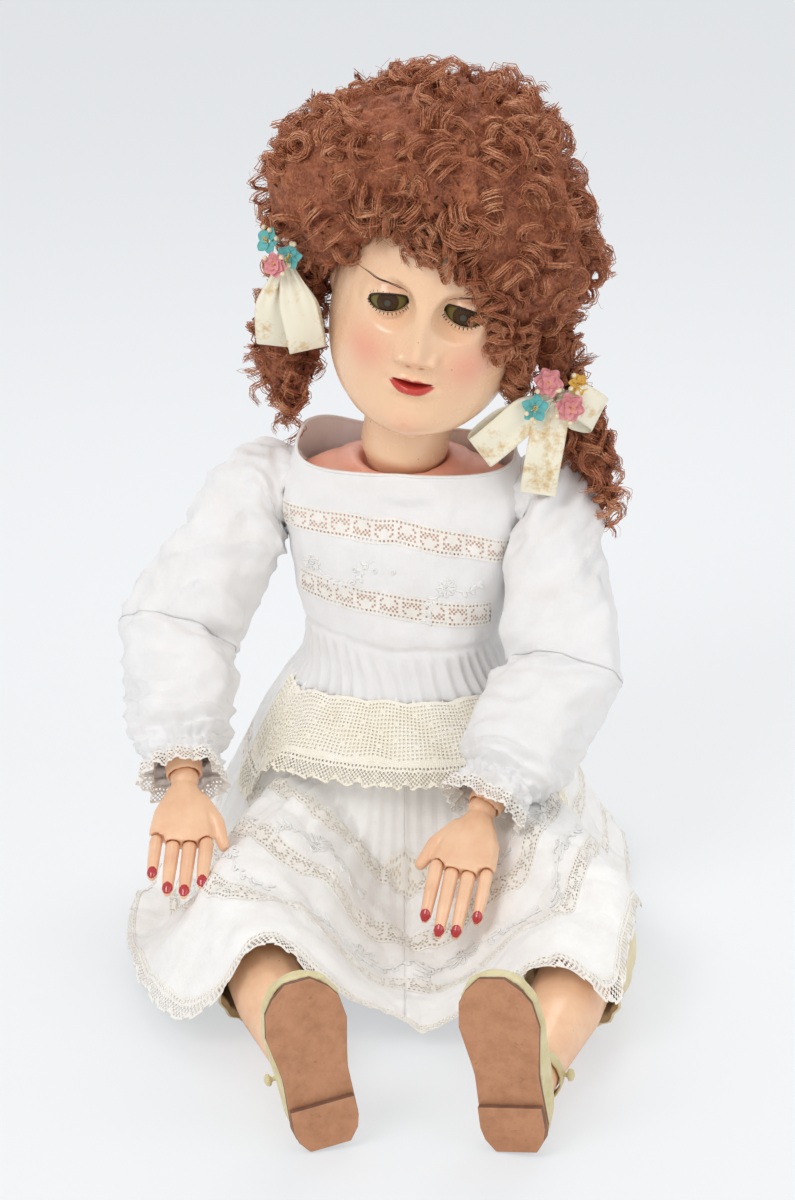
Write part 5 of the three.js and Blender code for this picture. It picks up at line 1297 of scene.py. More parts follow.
# The skirt hangs from the waist over the legs to its hem on the floor; the same rule as the CAD part
skirt = {
    "waist": (61, -52, 48), "top": 147.6, "floor": 0.9, "fall": 86, "drape": 105, "fold": 5, "folds": 24,
    "side": 76, "shift": 0.42,
    "hem": {
        "R": [[0, 288], [10, 310], [17, 298], [21, 322], [27, 316], [36, 282], [45, 250], [60, 212],
              [72, 182],
              [84, 166], [110, 158], [180, 150]],
        "L": [[0, 288], [10, 305], [17, 322], [22, 335], [27, 300], [33, 265], [45, 215], [60, 175],
              [80, 158],
              [110, 150], [180, 150]],
    },
    "legs": {  # x, y, height and radius of what the cloth lies on
        "R": [(-42.2, -5.5, 45, 39.2), (-69.7, -104.7, 41.5, 41.2), (-97.3, -203.9, 38.1, 33.2),
              (-81, -265.2, 33.3, 35.7), (-56.7, -357.1, 26.1, 20.2)],
        "L": [(48.9, -18.3, 45, 39.2), (87.5, -113.7, 41.7, 41.2), (126.1, -209.2, 38.3, 33.2),
              (108.5, -270.1, 33.3, 35.7), (82.2, -361.5, 25.8, 20.2)],
    },
    "gathers": 76, "gatherDepth": 2.6, "crease": 7.5,
}


def waistPoint(turn):
    half, front, back = skirt["waist"]
    return (pose["torsoShift"] + half * math.sin(turn),
            (front + back) / 2 - (back - front) / 2 * math.cos(turn), 0)


def overLegs(x, y):
    height = 0.0
    for side, cover in skirt["legs"].items():
        outwards = -1 if side == "R" else 1
        for (ax, ay, az, ar), (bx, by, bz, br) in zip(cover, cover[1:]):
            share = ((x - ax) * (bx - ax) + (y - ay) * (by - ay)) / ((bx - ax) ** 2 + (by - ay) ** 2)
            share = min(1.0, max(0.0, share))
            away = math.hypot(x - mix(ax, bx, share), y - mix(ay, by, share))
            radius, level = mix(ar, br, share), mix(az, bz, share)
            if away < radius:
                height = max(height, level + math.sqrt(radius * radius - away * away))
            outside = outwards * (x - mix(ax, bx, share)) > 0
            reach = skirt["fall"] if outside else skirt["drape"]
            height = max(height, (level + radius) * (1 - smooth(away / reach)))
    return height


def skirtPoint(turn, share, lift=0.0):
    wrapped = math.degrees(turn + math.pi) % 360 - 180
    sideways = min(1.0, abs(wrapped) / skirt["side"])
    outShare = share ** (1 - skirt["shift"] * sideways * sideways)
    reach = curvedAlong(skirt["hem"]["R" if wrapped < 0 else "L"], abs(wrapped))[0]
    hem = Vector((pose["torsoShift"] + reach * math.sin(turn), -reach * math.cos(turn), 0))
    at = Vector(waistPoint(turn)).lerp(hem, outShare)
    half, front, back = skirt["waist"]
    out = math.hypot((at.x - pose["torsoShift"]) / half,
                     (at.y - (front + back) / 2) / ((back - front) / 2)) - 1
    fromWaist = skirt["top"] * (1 - smooth(out * half / skirt["drape"]))
    base = max(skirt["floor"], overLegs(at.x, at.y), fromWaist)
    waver = turn * skirt["folds"] + 1.1 * noise.noise(Vector((turn * 3, share * 2, 7)))
    fold = skirt["fold"] * smooth(outShare * 2.2) * (0.5 + 0.5 * math.cos(waver))
    gather = turn * skirt["gathers"] + 2.4 * noise.noise(Vector((turn * 2.6, share * 1.6, 4)))
    gathered = smooth(share * 14) * (1 - smooth((share - 0.1) / 0.5))
    fold += skirt["gatherDepth"] * (0.5 + 0.5 * math.cos(gather)) * gathered
    crease = abs(wrinkle((at.x, at.y, 5 * turn), 34, 2.3)) + 0.45 * abs(wrinkle((at.x, at.y, 0), 13, 8.1))
    fold += skirt["crease"] * crease * smooth(outShare * 3)
    at.z = base + fold + lift
    return at


# Lace bands sewn into the skirt, by their middle share of the way out
skirtBands = [{"at": 0.262, "wide": 0.062}, {"at": 0.48, "wide": 0.066}, {"at": 0.72, "wide": 0.068}]
panels = {"R": (-76, 0, 128), "L": (0, 76, 128), "back": (76, 284, 144)}


def skirtShares():
    edges = [0.0]
    for band in skirtBands:
        edges += [band["at"] - band["wide"] / 2 + 0.006, band["at"] + band["wide"] / 2 - 0.006]
    edges.append(0.975)
    shares = []
    for low, high in zip(edges, edges[1:]):
        steps = max(2, round((high - low) / 0.0115))
        shares += [mix(low, high, k / steps) for k in range(steps)]
    return shares + [edges[-1]], edges


def insertionHole(j, i, rows):
    # Pinholes beside both edges and, between them, blocks of net parted by bars.
    if j in (0, rows - 1) or j in (2, rows - 3):
        return False
    if j in (1, rows - 2):
        return i % 2 == 1
    column = i % 11
    if column in (0, 1):
        return False
    middle = (rows - 1) / 2
    if abs(column - 6) + abs(j - middle) < 1.6:
        return False
    if abs(abs(column - 6) + abs(j - middle) - 3.5) < 0.6:
        return False
    return (i + j) % 2 == 1


def edgingHole(j, i, rows):
    # A scalloped edge: row 0 is the free edge.
    column = (i % 12 - 5.5) / 6
    scallop = 3.2 * (1 - math.sqrt(max(0.0, 1 - column * column)))
    if j < scallop:
        return True
    if j < scallop + 1.1 or j in (rows - 1, rows - 3):
        return False
    if j == rows - 2:
        return i % 2 == 1
    return (i + j) % 2 == 1


def laceStrip(name, surface, rows, hole, closed=False, cell=laceCell, samples=240):
    # surface(s, up) gives a point in millimetres; cells are spaced evenly along the middle.
    walk = [surface(k / samples, 0.5) for k in range(samples + 1)]
    lengths = [0.0]
    for a, b in zip(walk, walk[1:]):
        lengths.append(lengths[-1] + (b - a).length)
    count = max(8, round(lengths[-1] / cell))
    places = []
    k = 0
    for i in range(count + (0 if closed else 1)):
        wanted = lengths[-1] * i / count
        while k < samples - 1 and lengths[k + 1] < wanted:
            k += 1
        span = lengths[k + 1] - lengths[k] or 1
        places.append((k + (wanted - lengths[k]) / span) / samples)
    grid = [[surface(s, j / rows) for s in places] for j in range(rows + 1)]
    return gridMesh(name, grid, closed, lambda j, i: hole(j, i, rows), thickness=0.5)


def bandSurface(band, lift):
    def surface(s, up):
        x = mix(band["from"], band["to"], s)
        z = along(band["middle"], x) + (up - 0.5) * insertionHeight
        return bodicePoint(turnFor(x, z), z, lift)
    return surface


def underBand(point):
    # Whether a point on the front of the bodice is behind one of the lace bands.
    local = torsoMatrix.inverted() @ (point * mm)
    for band in insertions:
        if local.y < 0 and band["from"] < local.x < band["to"]:
            if abs(local.z - along(band["middle"], local.x)) < insertionHeight / 2 - 1.9:
                return True
    return False


bodiceTurns = [2 * math.pi * i / bodice["around"] for i in range(bodice["around"])]
bodiceRows = []
for j in range(bodice["rows"] + 1):
    bodiceRows.append([bodicePoint(turn, mix(necklineAt(turn), bodice["low"], j / bodice["rows"]))
                       for turn in bodiceTurns])

sleeves = {  # place, facing and radius of each ring
    "R": {
        "upper": [(-58, 9, 262, -.99, .14, 0, 17), (-76, 10.9, 266, -.99, .14, 0, 26),
                  (-90.7, 11.9, 263.1, -.88, -.14, -.45, 33),
                  (-109.1, -2, 238.9, -.52, -.39, -.76, 33), (-128, -16.1, 209.4, -.52, -.39, -.76, 37),
                  (-150, -32.3, 173.8, -.23, -.65, -.72, 38)],
        "lower": [(-150, -32.3, 173.8, -.23, -.65, -.72, 37.6), (-146.3, -64, 151.8, .10, -.82, -.57, 38),
                  (-142.8, -93.8, 131.1, .10, -.82, -.57, 35), (-141.4, -105.9, 122.7, .10, -.82, -.57, 24),
                  (-140.1, -117.3, 114.7, .10, -.82, -.57, 25.5)],
    },
    "L": {
        "upper": [(68, -9, 262, .99, -.14, 0, 17), (86, -11, 266, .99, -.14, 0, 26),
                  (99.7, -15, 262.8, .71, -.42, -.56, 33),
                  (103.8, -33.1, 234.9, .10, -.50, -.86, 33), (107.1, -51.1, 201.9, .10, -.50, -.86, 37),
                  (110.6, -71.9, 162.3, -.21, -.61, -.76, 38)],
        "lower": [(110.6, -71.9, 162.3, -.21, -.61, -.76, 37.6), (91.6, -97.3, 139.9, -.49, -.65, -.58, 38),
                  (73.8, -121.2, 118.9, -.49, -.65, -.58, 35), (66.5, -130.8, 110.4, -.49, -.65, -.58, 24),
                  (59.7, -140, 102.3, -.49, -.65, -.58, 25.5)],
    },
}
sleeve = {"around": 84, "along": 72, "gathers": 22, "gatherDepth": 1.3, "crush": 6.5, "fold": 4.6,
          "ripple": 1.5,
          "cuffLace": 13, "frills": 15, "frill": 1.6, "seeds": {"R": 2.0, "L": 9.0}}


def armholeAway(point):
    return min((point - Vector(sleeves[side]["upper"][1][:3])).length for side in ("R", "L"))


def bodiceOpening(j, i):
    # The cloth is cut away behind the lace and inside the armholes.
    middle = (bodiceRows[j][i] + bodiceRows[j + 1][(i + 1) % bodice["around"]]) / 2
    return underBand(middle) or armholeAway(middle) < bodice["armhole"]


bodiceCloth = gridMesh("bodiceBatiste", bodiceRows, True, bodiceOpening)
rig.replaces(bodiceCloth, "dress_bodice")
finishMesh(bodiceCloth, batiste, "torso", "white_batiste")

bodiceLace = []
bodiceLitSkin = []
for index, band in enumerate(insertions):
    behind = bandSurface(band, -0.3)
    # Pink sheet behind the band: painted light on the skin seen through the lace.
    bodiceLitSkin.append(gridMesh("lining",
                                 [[behind(i / 90, 0.04 + 0.23 * j) for i in range(91)] for j in range(5)]))
    bodiceLace.append(laceStrip(f"bodiceInsertion{index}", bandSurface(band, 0.5), 12, insertionHole))
bodiceLace = joinPieces("bodiceLace", bodiceLace)
bodiceLitSkin = finishMesh(joinPieces("bodiceLaceLining", bodiceLitSkin), litSkinSheet, "torso", "white_batiste")
finishMesh(bodiceLace, laceThread, "torso", "white_batiste", smoothShaded=False)


def sleevePoint(side, part, t, angle, lift=0.0):
    rings = sleeves[side][part]
    table = [[k, *ring] for k, ring in enumerate(rings)]
    x, y, z, fx, fy, fz, radius = curvedAlong(table, t * (len(rings) - 1))
    facing = Vector((fx, fy, fz)).normalized()
    sideways = facing.cross(Vector((0, 0, 1))).normalized()
    upwards = sideways.cross(facing)
    seed = sleeve["seeds"][side]
    s = t if part == "upper" else 1 + t
    out = sleeve["crush"] * noise.noise(Vector((math.cos(angle) * 1.5 + seed, math.sin(angle) * 1.5, s * 5)))
    slant = s * 9 + 1.1 * math.cos(angle + seed)
    crease = abs(noise.noise(Vector((math.cos(angle) * 1.3, math.sin(angle) * 1.3 + seed, slant))))
    out += sleeve["fold"] * (0.5 - crease * 2.2)
    out += sleeve["ripple"] * noise.noise(Vector((math.cos(angle) * 4, math.sin(angle) * 4 + seed, s * 16)))
    near = 1 - smooth(t * 4) if part == "upper" else smooth((t - 0.5) * 3)
    gather = sleeve["gathers"] * angle + 2 * noise.noise(Vector((angle, s, seed)))
    out += sleeve["gatherDepth"] * near * math.cos(gather)
    radius += out + lift
    return Vector((x, y, z)) + (sideways * math.cos(angle) + upwards * math.sin(angle)) * radius


def cuffEdge(side):
    # The lace frill carries on past the last ring and flares a little.
    x, y, z, fx, fy, fz, _ = sleeves[side]["lower"][-1]
    facing = Vector((fx, fy, fz)).normalized()

    def surface(s, up):
        angle = s * 2 * math.pi
        past = (1 - up) * sleeve["cuffLace"]
        root = sleevePoint(side, "lower", 1, angle)
        middle = Vector((x, y, z))
        ripple = sleeve["frill"] * (1 - up) * math.cos(angle * sleeve["frills"])
        return root + facing * past + (root - middle).normalized() * (past * 0.22 + ripple)
    return surface


sleevePieces = {}
for side in ("R", "L"):
    for part, first, second, split in (("upper", "torso", "upper_arm_", "shoulder"),
                                       ("lower", "upper_arm_", "forearm_", "elbow")):
        rows = []
        for j in range(sleeve["along"] + 1):
            t = j / sleeve["along"]
            rows.append([sleevePoint(side, part, t, 2 * math.pi * i / sleeve["around"])
                         for i in range(sleeve["around"])])
        piece = gridMesh(part + "Sleeve" + side, rows, True)
        finishMesh(piece, batiste, None, "white_batiste")
        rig.replaces(piece, f"sleeve_{part}_{side}")
        pieces = [piece]
        if part == "lower":
            frill = laceStrip("cuffLace" + side, cuffEdge(side), 9, edgingHole, closed=True)
            finishMesh(frill, laceThread, None, "white_batiste", smoothShaded=False)
            pieces.append(frill)
        one = first if first == "torso" else first + side
        middle = place(side, split)
        onwards = (place(side, "elbow" if part == "upper" else "wrist") - middle).normalized()
        for each in pieces:
            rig.blend(each, one, second + side,
                     start=tuple(middle - onwards * (0.0 if part == "upper" else 0.018)),
                     end=tuple(middle + onwards * (0.04 if part == "upper" else 0.018)))
        sleevePieces[side, part] = pieces

print("stage: skirt")


def skirtSplit(side):
    # Where the skirt goes over from the torso to the leg under it.
    hip = place(side, "hip")
    onwards = (place(side, "knee") - hip).normalized()
    return {"start": tuple(hip + onwards * 0.03), "end": tuple(hip + onwards * 0.12)}


shares, bandEdges = skirtShares()
bandRanges = list(zip(bandEdges[1:-1:2], bandEdges[2:-1:2]))
skirtPieces = {}
for name, (low, high, steps) in panels.items():
    def turnAt(s, low=low, high=high):
        return math.radians(mix(low, high, s))
    rows = [[skirtPoint(turnAt(i / steps), share) for i in range(steps + 1)] for share in shares]
    cloth = gridMesh("skirtBatiste" + name.title(), rows, False, lambda j, i: any(
        low <= (shares[j] + shares[j + 1]) / 2 <= high for low, high in bandRanges))
    finishMesh(cloth, batisteOpaque, None, "white_batiste")
    strips = []
    cell = skirtCells["back" if name == "back" else "front"]
    for index, band in enumerate(skirtBands):
        strips.append(laceStrip(f"band{index}", lambda s, up: skirtPoint(
            turnAt(s), band["at"] + (0.5 - up) * band["wide"], 0.5), 12, insertionHole, cell=cell))
    strips.append(laceStrip("hem", lambda s, up: skirtPoint(turnAt(s), 1.012 - up * 0.055, 0.4 + 0.4 * up), 9,
                            edgingHole, cell=cell))
    trim = joinPieces("skirtLace" + name.title(), strips)
    # Cream sheets behind the bands: painted shade in the lace holes.
    laceShadeSheets = [gridMesh("lining", [[skirtPoint(turnAt(i / steps),
                                               band["at"] + (0.46 - 0.23 * j) * band["wide"], -0.4)
                                    for i in range(steps + 1)] for j in range(5)]) for band in skirtBands]
    lining = joinPieces("skirtLaceLining" + name.title(), laceShadeSheets)
    finishMesh(lining, laceHoleShade, None, "white_batiste")
    finishMesh(trim, laceThread, None, "white_batiste", smoothShaded=False)
    if name == "back":
        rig.replaces(cloth, "skirt_back")
        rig.ride(cloth, "torso")
        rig.ride(trim, "torso")
        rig.ride(lining, "torso")
    else:
        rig.replaces(cloth, "skirt_panel_" + name)
        for each in (cloth, trim, lining):
            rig.blend(each, "torso", "upper_leg_" + name, **skirtSplit(name))
    skirtPieces[name] = [cloth, trim, lining]
print("stage: apron, drawers and stitching")
creamNetFold = woven("foldedCottonNet", "#fcf5e6", "#f5ead0", 1.4, weave=0.5)
apron = {"from": -74, "to": 66, "top": 20, "low": 50, "lift": 2.6, "rows": 34, "lace": 13, "ruffle": 2.2,
         "level": 138, "slope": 1.1}


def netHole(j, i, rows):
    # Square net with small woven dots, between two plain edges.
    if j < 2 or j > rows - 3:
        return False
    if i % 9 in (3, 4) and (j + 4 * (i // 9 % 2)) % 9 in (3, 4):
        return False
    return i % 2 == 1 and j % 2 == 1


def shareAt(turn, out):
    # The skirt's share at which it lies a distance out from the waist.
    wrapped = math.degrees(turn)
    sideways = min(1.0, abs(wrapped) / skirt["side"])
    reach = curvedAlong(skirt["hem"]["R" if wrapped < 0 else "L"], abs(wrapped))[0]
    outShare = out / (reach - Vector(waistPoint(turn)).length)
    return outShare ** (1 / (1 - skirt["shift"] * sideways * sideways))


def apronTurn(s):
    return math.radians(mix(apron["from"], apron["to"], s))


def apronSurface(s, up):
    turn = apronTurn(s)
    share = shareAt(turn, mix(apron["low"], apron["top"], up) + 1.5 * math.sin(turn * 5))
    fold = 1.6 * abs(math.sin(turn * 9 + up * 3)) + 2.2 * max(0.0, wrinkle((turn * 40, up * 30, 0), 9, 4.4))
    return overLap(turn, share, mix(apron["low"], apron["top"], up), apron["lift"] + fold)


def overLap(turn, share, out, lift):
    # The folded net keeps its own slope across the lap instead of sinking between the thighs.
    point = skirtPoint(turn, share, lift)
    level = apron["level"] - (out - apron["top"]) * apron["slope"] + lift
    front = 1 - smooth((abs(math.degrees(turn)) - 42) / 26)
    point.z = max(point.z, mix(point.z, level, front))
    return point


def apronEdge(s, up):
    turn = apronTurn(s)
    root = apronSurface(s, 0)
    share = shareAt(turn, apron["low"] + 1.5 * math.sin(turn * 5) + (1 - up) * apron["lace"])
    out = apron["low"] + (1 - up) * apron["lace"]
    low = overLap(turn, share, out, apron["lift"] + 1.2)
    ruffle = apron["ruffle"] * (1 - up) * (1 + math.cos(turn * 62 + 2 * math.sin(turn * 7)))
    point = low if up < 0.999 else root
    return point + Vector((0.5 * math.sin(turn * 62), -0.4 * ruffle, 0.8 * ruffle))


apronFold = gridMesh("apronUnderFold", [[apronSurface(i / 160,
                                                      j / 14) - Vector((0, 0, 1.1)) for i in range(161)]
                                        for j in range(15)])
finishMesh(apronFold, creamNetFold, "torso", "dotted_net")
apronCloth = laceStrip("apronNet", apronSurface, apron["rows"], netHole, cell=1.32)
finishMesh(apronCloth, dottedNet, "torso", "dotted_net", smoothShaded=False)
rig.replaces(apronCloth, "apron")
apronLace = laceStrip("apronLace", apronEdge, 11, edgingHole)
finishMesh(apronLace, dottedNet, "torso", "white_batiste", smoothShaded=False)

drawers = {"girth": [[0, 37], [0.5, 35.5], [0.72, 32], [0.93, 30], [1, 32]], "around": 64, "along": 70,
           "path": [("thigh", 0.25), ("thigh", 0.6), ("thigh", 0.85), ("shin", 0.12), ("shin", 0.3)]}
drawersPieces = {}
for side in ("R", "L"):
    hip, knee, heel = (place(side, name) / mm for name in ("hip", "knee", "heel"))
    path = []
    for index, (bone, share) in enumerate(drawers["path"]):
        path.append([index, *(hip.lerp(knee, share) if bone == "thigh" else knee.lerp(heel, share))])
    rows = []
    last = len(path) - 1
    for j in range(drawers["along"] + 1):
        t = j / drawers["along"]
        at, ahead = Vector(curvedAlong(path, t * last)), Vector(curvedAlong(path, min(1, t + 0.01) * last))
        behind = Vector(curvedAlong(path, max(0, t - 0.01) * last))
        facing = (ahead - behind).normalized()
        sideways = facing.cross(Vector((0, 0, 1))).normalized()
        upwards = sideways.cross(facing)
        row = []
        for i in range(drawers["around"]):
            angle = 2 * math.pi * i / drawers["around"]
            near = smooth((t - 0.55) * 3)
            radius = along(drawers["girth"], t) - 1.8 + 0.8 * near * math.cos(16 * angle)
            radius += 1.5 * noise.noise(Vector((math.cos(angle) * 2, math.sin(angle) * 2, t * 9)))
            radius += 2.6 * math.exp(-((t - 0.965) / 0.022) ** 2)
            row.append(at + (sideways * math.cos(angle) + upwards * math.sin(angle)) * radius)
        rows.append(row)
    piece = gridMesh("drawersLeg" + side, rows, True, thickness=0.5)
    finishMesh(piece, creamCotton, None, "cream_cotton")
    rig.replaces(piece, "drawers_" + side)
    onwards = (knee - hip).normalized() * mm
    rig.blend(piece, "upper_leg_" + side, "lower_leg_" + side, start=tuple(knee * mm - onwards * 22),
             end=tuple(knee * mm + (heel - knee).normalized() * 0.022))
    drawersPieces[side] = piece

binding = [[(bodicePoint(2 * math.pi * i / 160, necklineAt(2 * math.pi * i / 160), 0.4) * mm, 1.0)
            for i in range(160)]]
necklineBinding = addCurves("necklineBinding", binding, 1.3, batisteOpaque, "torso", "white_batiste",
                            cyclic=True)

# White satin stitch: petals and leaves are worked as rows of raised loops
stitch = {"thread": 0.5, "lift": 0.6}


def bodiceSpot(x, z):
    return bodicePoint(turnFor(x, z), z, stitch["lift"]) * mm


def skirtSpot(centre):
    # Flat millimetres about a place on the skirt (turn in degrees, share of the way out).
    turn, share = centre

    def spot(x, z):
        return skirtPoint(math.radians(turn) + x / 150, share - z / 262, stitch["lift"] + 0.3) * mm
    return spot


def leafLoops(x, z, angle, length, width):
    loops = []
    for fill in (1.0, 0.45):
        loop = []
        for k in range(11):
            t = 2 * math.pi * k / 10
            u, v = length / 2 * (1 - math.cos(t)), width / 2 * math.sin(t) * fill
            loop.append((x + u * math.cos(angle) - v * math.sin(angle),
                         z + u * math.sin(angle) + v * math.cos(angle)))
        loops.append(loop)
    return loops


def starFlower(x, z, size, petals=8):
    loops = [[(x + 1.4 * math.cos(t), z + 1.4 * math.sin(t)) for t in (k * math.pi / 4 for k in range(9))]]
    for k in range(petals):
        angle = 2 * math.pi * k / petals
        loops += leafLoops(x + 2 * math.cos(angle), z + 2 * math.sin(angle), angle, size - 2, size * 0.42)
    return loops


def spray(x, z, length, angle, leaves=4):
    loops = [[(x + length * t * math.cos(angle + 0.6 * t), z + length * t * math.sin(angle + 0.6 * t))
              for t in (k / 8 for k in range(9))]]
    for k in range(leaves):
        t = (k + 1) / leaves
        turn = angle + 0.6 * t
        sx, sz = x + length * t * math.cos(turn), z + length * t * math.sin(turn)
        for side in (-1, 1):
            loops += leafLoops(sx, sz, turn + side * 0.8, length * 0.26, length * 0.11)
    return loops


bodiceStitches = (starFlower(34, 216, 6.5) + spray(31, 212, 19, -2.6) + spray(40, 214, 15, -0.5, 3)
                  + starFlower(-57, 226, 5.5) + spray(-52, 222, 22, -0.9) + spray(-14, 233, 14, 3.5, 3))
for dot in (-26, -13, -1):
    bodiceStitches += [[(dot + 1.5 * math.cos(t),
                         226 + 1.5 * math.sin(t)) for t in (k * 0.7 for k in range(10))]]
lines = [[(bodiceSpot(x, z), 1.0) for x, z in loop] for loop in bodiceStitches]
bodiceStitching = addCurves("bodiceStitching", lines, stitch["thread"], batisteOpaque, "torso",
                            "white_batiste")
skirtFlowers = {"R": [(-21, 0.37), (-48, 0.42), (-8, 0.6), (-33, 0.61), (-62, 0.6)],
                "L": [(14, 0.38), (40, 0.42), (10, 0.6), (30, 0.61), (58, 0.6)]}
for side, centres in skirtFlowers.items():
    lines = []
    for centre in centres:
        spot = skirtSpot(centre)
        for loop in starFlower(0, 0, 8) + spray(6, -2, 20, -0.7) + spray(-6, -2, 20, 3.5):
            lines.append([(spot(x, z), 1.0) for x, z in loop])
    piece = asMesh(addCurves("skirtStitching" + side, lines, stitch["thread"], batisteOpaque, None,
                             "white_batiste"))
    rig.blend(piece, "torso", "upper_leg_" + side, **skirtSplit(side))
    skirtPieces[side].append(piece)
print("stage: ribbons and flowers")
ribbon = {
    "width": 24, "knotHalf": (6.6, 5, 7.4), "knots": {"R": (-71, -46.6, 438.4), "L": (102, -48, 348)},
    "bands": {
        "R": [[(-73, -54, 434), (-79, -54, 412), (-80, -46, 388), (-79, -39, 378), (-78, -36, 386),
               (-76, -44, 406),
               (-72, -51, 430)],
              [(-71, -54, 434), (-65, -58, 414), (-60, -54, 390), (-58, -46, 377), (-59, -41, 386),
               (-63, -50, 410),
               (-70, -52, 430)]],
        "L": [[(101, -57, 347), (86, -60, 340), (67, -61, 323), (54, -57, 311), (56, -52, 316),
               (75, -56, 333),
               (97, -56, 345)],
              [(101, -57, 345), (97, -60, 320), (94, -58, 300), (92, -53, 281)],
              [(103, -57, 347), (115, -57, 347), (127, -52, 339), (132, -46, 333), (127, -43, 331),
               (115, -51, 337),
               (105, -56, 345)]],
    },
}


def ribbonSheet(name, points, looped):
    start = Vector(points[0])
    far = max((Vector(p) for p in points), key=lambda p: (p - start).length)
    wide = (far - start).cross(Vector((0, 1, 0))).normalized()
    table = [[k, *p] for k, p in enumerate(points)]
    last = len(points) - 1
    steps = 14 * last
    rows = []
    for j in range(steps + 1):
        t = j / steps
        at = Vector(curvedAlong(table, t * last))
        ends = min(t, 1 - t) if looped else t
        half = ribbon["width"] / 2 * mix(0.42, 1.0, smooth(ends * 4.5))
        row = []
        for i in range(17):
            u = i / 8 - 1
            fold = (1 - smooth(ends * 3.2)) * 1.7 * math.cos(u * 9 + 1) + 0.9 * math.cos(u * 2.4 + t * 4)
            fold += 1.3 * noise.noise(Vector((u * 1.2, t * 4, start.x)))
            row.append(at + wide * u * half + Vector((0, -0.9, 0.25)) * fold)
        rows.append(row)
    piece = gridMesh(name, rows, False, thickness=0.4)
    return finishMesh(piece, satin, "head", "satin_ribbon")


def knotOf(name, centre):
    # The wrapped middle of the bow, pleated lengthwise.
    bm = bmesh.new()
    bmesh.ops.create_uvsphere(bm, u_segments=28, v_segments=18, radius=1.0)
    for vertex in bm.verts:
        angle = math.atan2(vertex.co.y, vertex.co.x)
        pleat = 1 + 0.07 * math.cos(7 * angle) + 0.05 * noise.noise(vertex.co * 2)
        halfX, halfY, halfZ = ribbon["knotHalf"]
        vertex.co = Vector((vertex.co.x * halfX * pleat, vertex.co.y * halfY * pleat, vertex.co.z * halfZ))
    piece = linkMesh(bm, name, Matrix.Translation(Vector(centre) * mm) @ Matrix.Scale(mm, 4))
    return finishMesh(piece, satin, "head", "satin_ribbon")


ribbonPieces = {}
for side in ("R", "L"):
    pieces = []
    for index, points in enumerate(ribbon["bands"][side]):
        pieces.append(ribbonSheet(f"satinBow{side}{index}", points, looped=len(points) > 5))
    knotOf("bowKnot" + side, ribbon["knots"][side])
    for piece in pieces:
        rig.replaces(piece, "ribbon_" + side)
    ribbonPieces[side] = pieces

# Millinery flowers: place, kind and size
blossoms = {
    "R": [((-81, -47, 449), "turquoise", 9), ((-67, -58, 443), "turquoise", 8.5),
          ((-77, -60, 437), "rose", 8)],
    "L": [((97, -60, 359), "rose", 9.5), ((111, -60, 343), "rose", 9.5), ((88, -63, 343), "turquoise", 9),
          ((116, -54, 356), "yellow", 7)],
}
petalColours = {"turquoise": bluePetal, "rose": rosePetal, "yellow": yellowPetal}
petalPlans = {"turquoise": [(5, 1.0, 0.25)], "yellow": [(6, 1.0, 0.3)],
              "rose": [(6, 1.0, 0.3), (5, 0.78, 0.75), (4, 0.5, 1.4)]}


def addPetal(bm, centre, out, up, length, width, cup, chance):
    across = out.cross(up)
    grid = []
    for j in range(6):
        t = j / 5
        row = []
        for i in range(6):
            u = i / 2.5 - 1
            half = width / 2 * math.sin(math.pi * min(0.93, 0.12 + t * 0.8)) ** 0.7
            lift = cup * length * t * t * 0.55 + 0.16 * width * u * u + chance.uniform(-0.15, 0.15)
            row.append(bm.verts.new((centre + out * (length * (0.08 + t) - 0.12 * length * u * u * t)
                                     + across * half * u + up * lift) * mm))
        grid.append(row)
    for j in range(5):
        for i in range(5):
            bm.faces.new((grid[j][i], grid[j][i + 1], grid[j + 1][i + 1], grid[j + 1][i]))


def makeBlossoms(side):
    chance = random.Random(17 if side == "R" else 29)
    sheets = {name: bmesh.new() for name in petalColours}
    stamens, beads = [], bmesh.new()
    outwards = Vector((-0.45 if side == "R" else 0.3, -1, 0.25)).normalized()
    for centre, kind, size in blossoms[side]:
        up = (outwards + Vector([chance.gauss(0, 0.2) for _ in range(3)])).normalized()
        first = up.orthogonal().normalized()
        middle = Vector(centre) + up * 1.5
        for ring, (count, share, cup) in enumerate(petalPlans[kind]):
            for k in range(count):
                angle = 2 * math.pi * (k + 0.5 * ring) / count + chance.gauss(0, 0.08)
                out = Matrix.Rotation(angle, 3, up) @ first
                addPetal(sheets[kind], middle + up * ring * 0.7, out, up, size * share, size * share * 0.95,
                         cup, chance)
        for _ in range(9 if kind != "rose" else 4):
            tip = middle + up * chance.uniform(3.5, 6) + Vector([chance.gauss(0, 1.3) for _ in range(3)])
            stamens.append([(middle * mm, 0.5), (middle.lerp(tip, 0.8) * mm, 0.5), (tip * mm, 1.8)])
        for _ in range(3):
            spot = middle + Matrix.Rotation(chance.uniform(0, 6.28), 3,
                                            up) @ first * size * chance.uniform(0.7, 1.15)
            bmesh.ops.create_uvsphere(beads, u_segments=12, v_segments=8, radius=1.7 * mm,
                                      matrix=Matrix.Translation((spot + up * 2) * mm))
    pieces = []
    for kind, bm in sheets.items():
        if not bm.verts:
            bm.free()
            continue
        piece = linkMesh(bm, kind + "Petals" + side)
        addModifier(piece, "SOLIDIFY", thickness=0.35 * mm, offset=0)
        addModifier(piece, "SUBSURF", levels=1, render_levels=1)
        applyModifiers(piece)
        pieces.append(finishMesh(piece, petalColours[kind], "head", "cloth_flowers"))
    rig.replaces(pieces[0], "flowers_" + side)
    addCurves("stamens" + side, stamens, 0.35, yellowPetal, "head", "cloth_flowers")
    finishMesh(linkMesh(beads, "pearls" + side), glassBead, "head", "cloth_flowers")


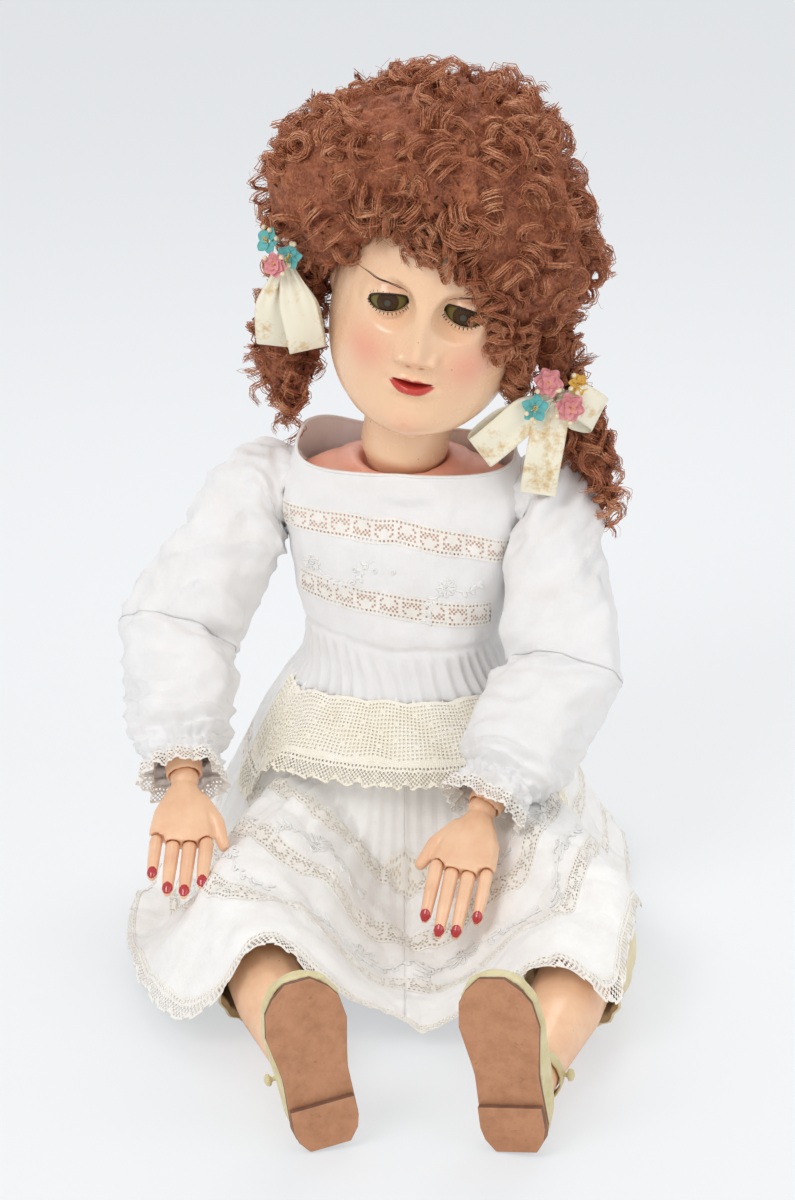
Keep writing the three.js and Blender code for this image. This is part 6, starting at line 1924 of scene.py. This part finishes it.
for side in ("R", "L"):
    makeBlossoms(side)
stem = [(104, -52, 352), (108, -52, 362), (114, -51, 371), (121, -50, 379)]
addCurves("flowerStem", [[(Vector(p) * mm, 1.0) for p in stem]], 0.55, stemWire, "head", "cloth_flowers")
print("stage: cloth as cut")
# Flat sizes in metres before gathering and hanging, worked out from the dress's own lengths
cuts = {
    "bodice": (0.52, 0.17), "upperSleeve": (0.24, 0.15), "lowerSleeve": (0.24, 0.11),
    "front": (0.36, 0.25), "frontArea": 0.062,
    "back": (0.50, 0.15), "backArea": 0.068, "drawersLeg": (0.25, 0.17), "apron": (0.30, 0.045),
    "bows": {"R": [(0.024, 0.115), (0.024, 0.125)], "L": [(0.024, 0.12), (0.024, 0.08), (0.024, 0.085)]},
}
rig.sheet(bodiceCloth, flat=cuts["bodice"], held="gathered", rests_on=["torsoComposition"],
         with_pieces=[bodiceLace, bodiceLitSkin, necklineBinding, bodiceStitching])
for side in ("R", "L"):
    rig.sheet(sleevePieces[side, "upper"][0], flat=cuts["upperSleeve"], held="gathered",
             rests_on=["upperArm" + side, "bodiceBatiste"])
    lower, frill = sleevePieces[side, "lower"]
    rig.sheet(lower, flat=cuts["lowerSleeve"], held="gathered", rests_on=["forearm" + side],
             with_pieces=[frill])
    cloth, trim, lining, stitching = skirtPieces[side]
    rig.sheet(cloth, flat=cuts["front"], area=cuts["frontArea"], held="gathered",
             rests_on=["drawersLeg" + side, "paperFloor"],
             with_pieces=[trim, lining, stitching])
    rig.sheet(drawersPieces[side], flat=cuts["drawersLeg"], held="gathered", rests_on=["thigh" + side])
    for piece, flat in zip(ribbonPieces[side], cuts["bows"][side]):
        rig.sheet(piece, flat=flat, held="hung", rests_on=["bowKnot" + side])
cloth, trim, lining = skirtPieces["back"]
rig.sheet(cloth, flat=cuts["back"], area=cuts["backArea"], held="gathered",
         rests_on=["bodiceBatiste", "paperFloor"],
         with_pieces=[trim, lining])
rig.sheet(apronCloth, flat=cuts["apron"], held="folded", rests_on=["skirtBatisteR", "skirtBatisteL"],
         with_pieces=[apronLace, apronFold])
with open("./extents.json", "w") as sizeFile:
    json.dump({"cad": [list(v) for v in cadBounds], "visual": [list(v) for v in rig.bounds()]}, sizeFile)
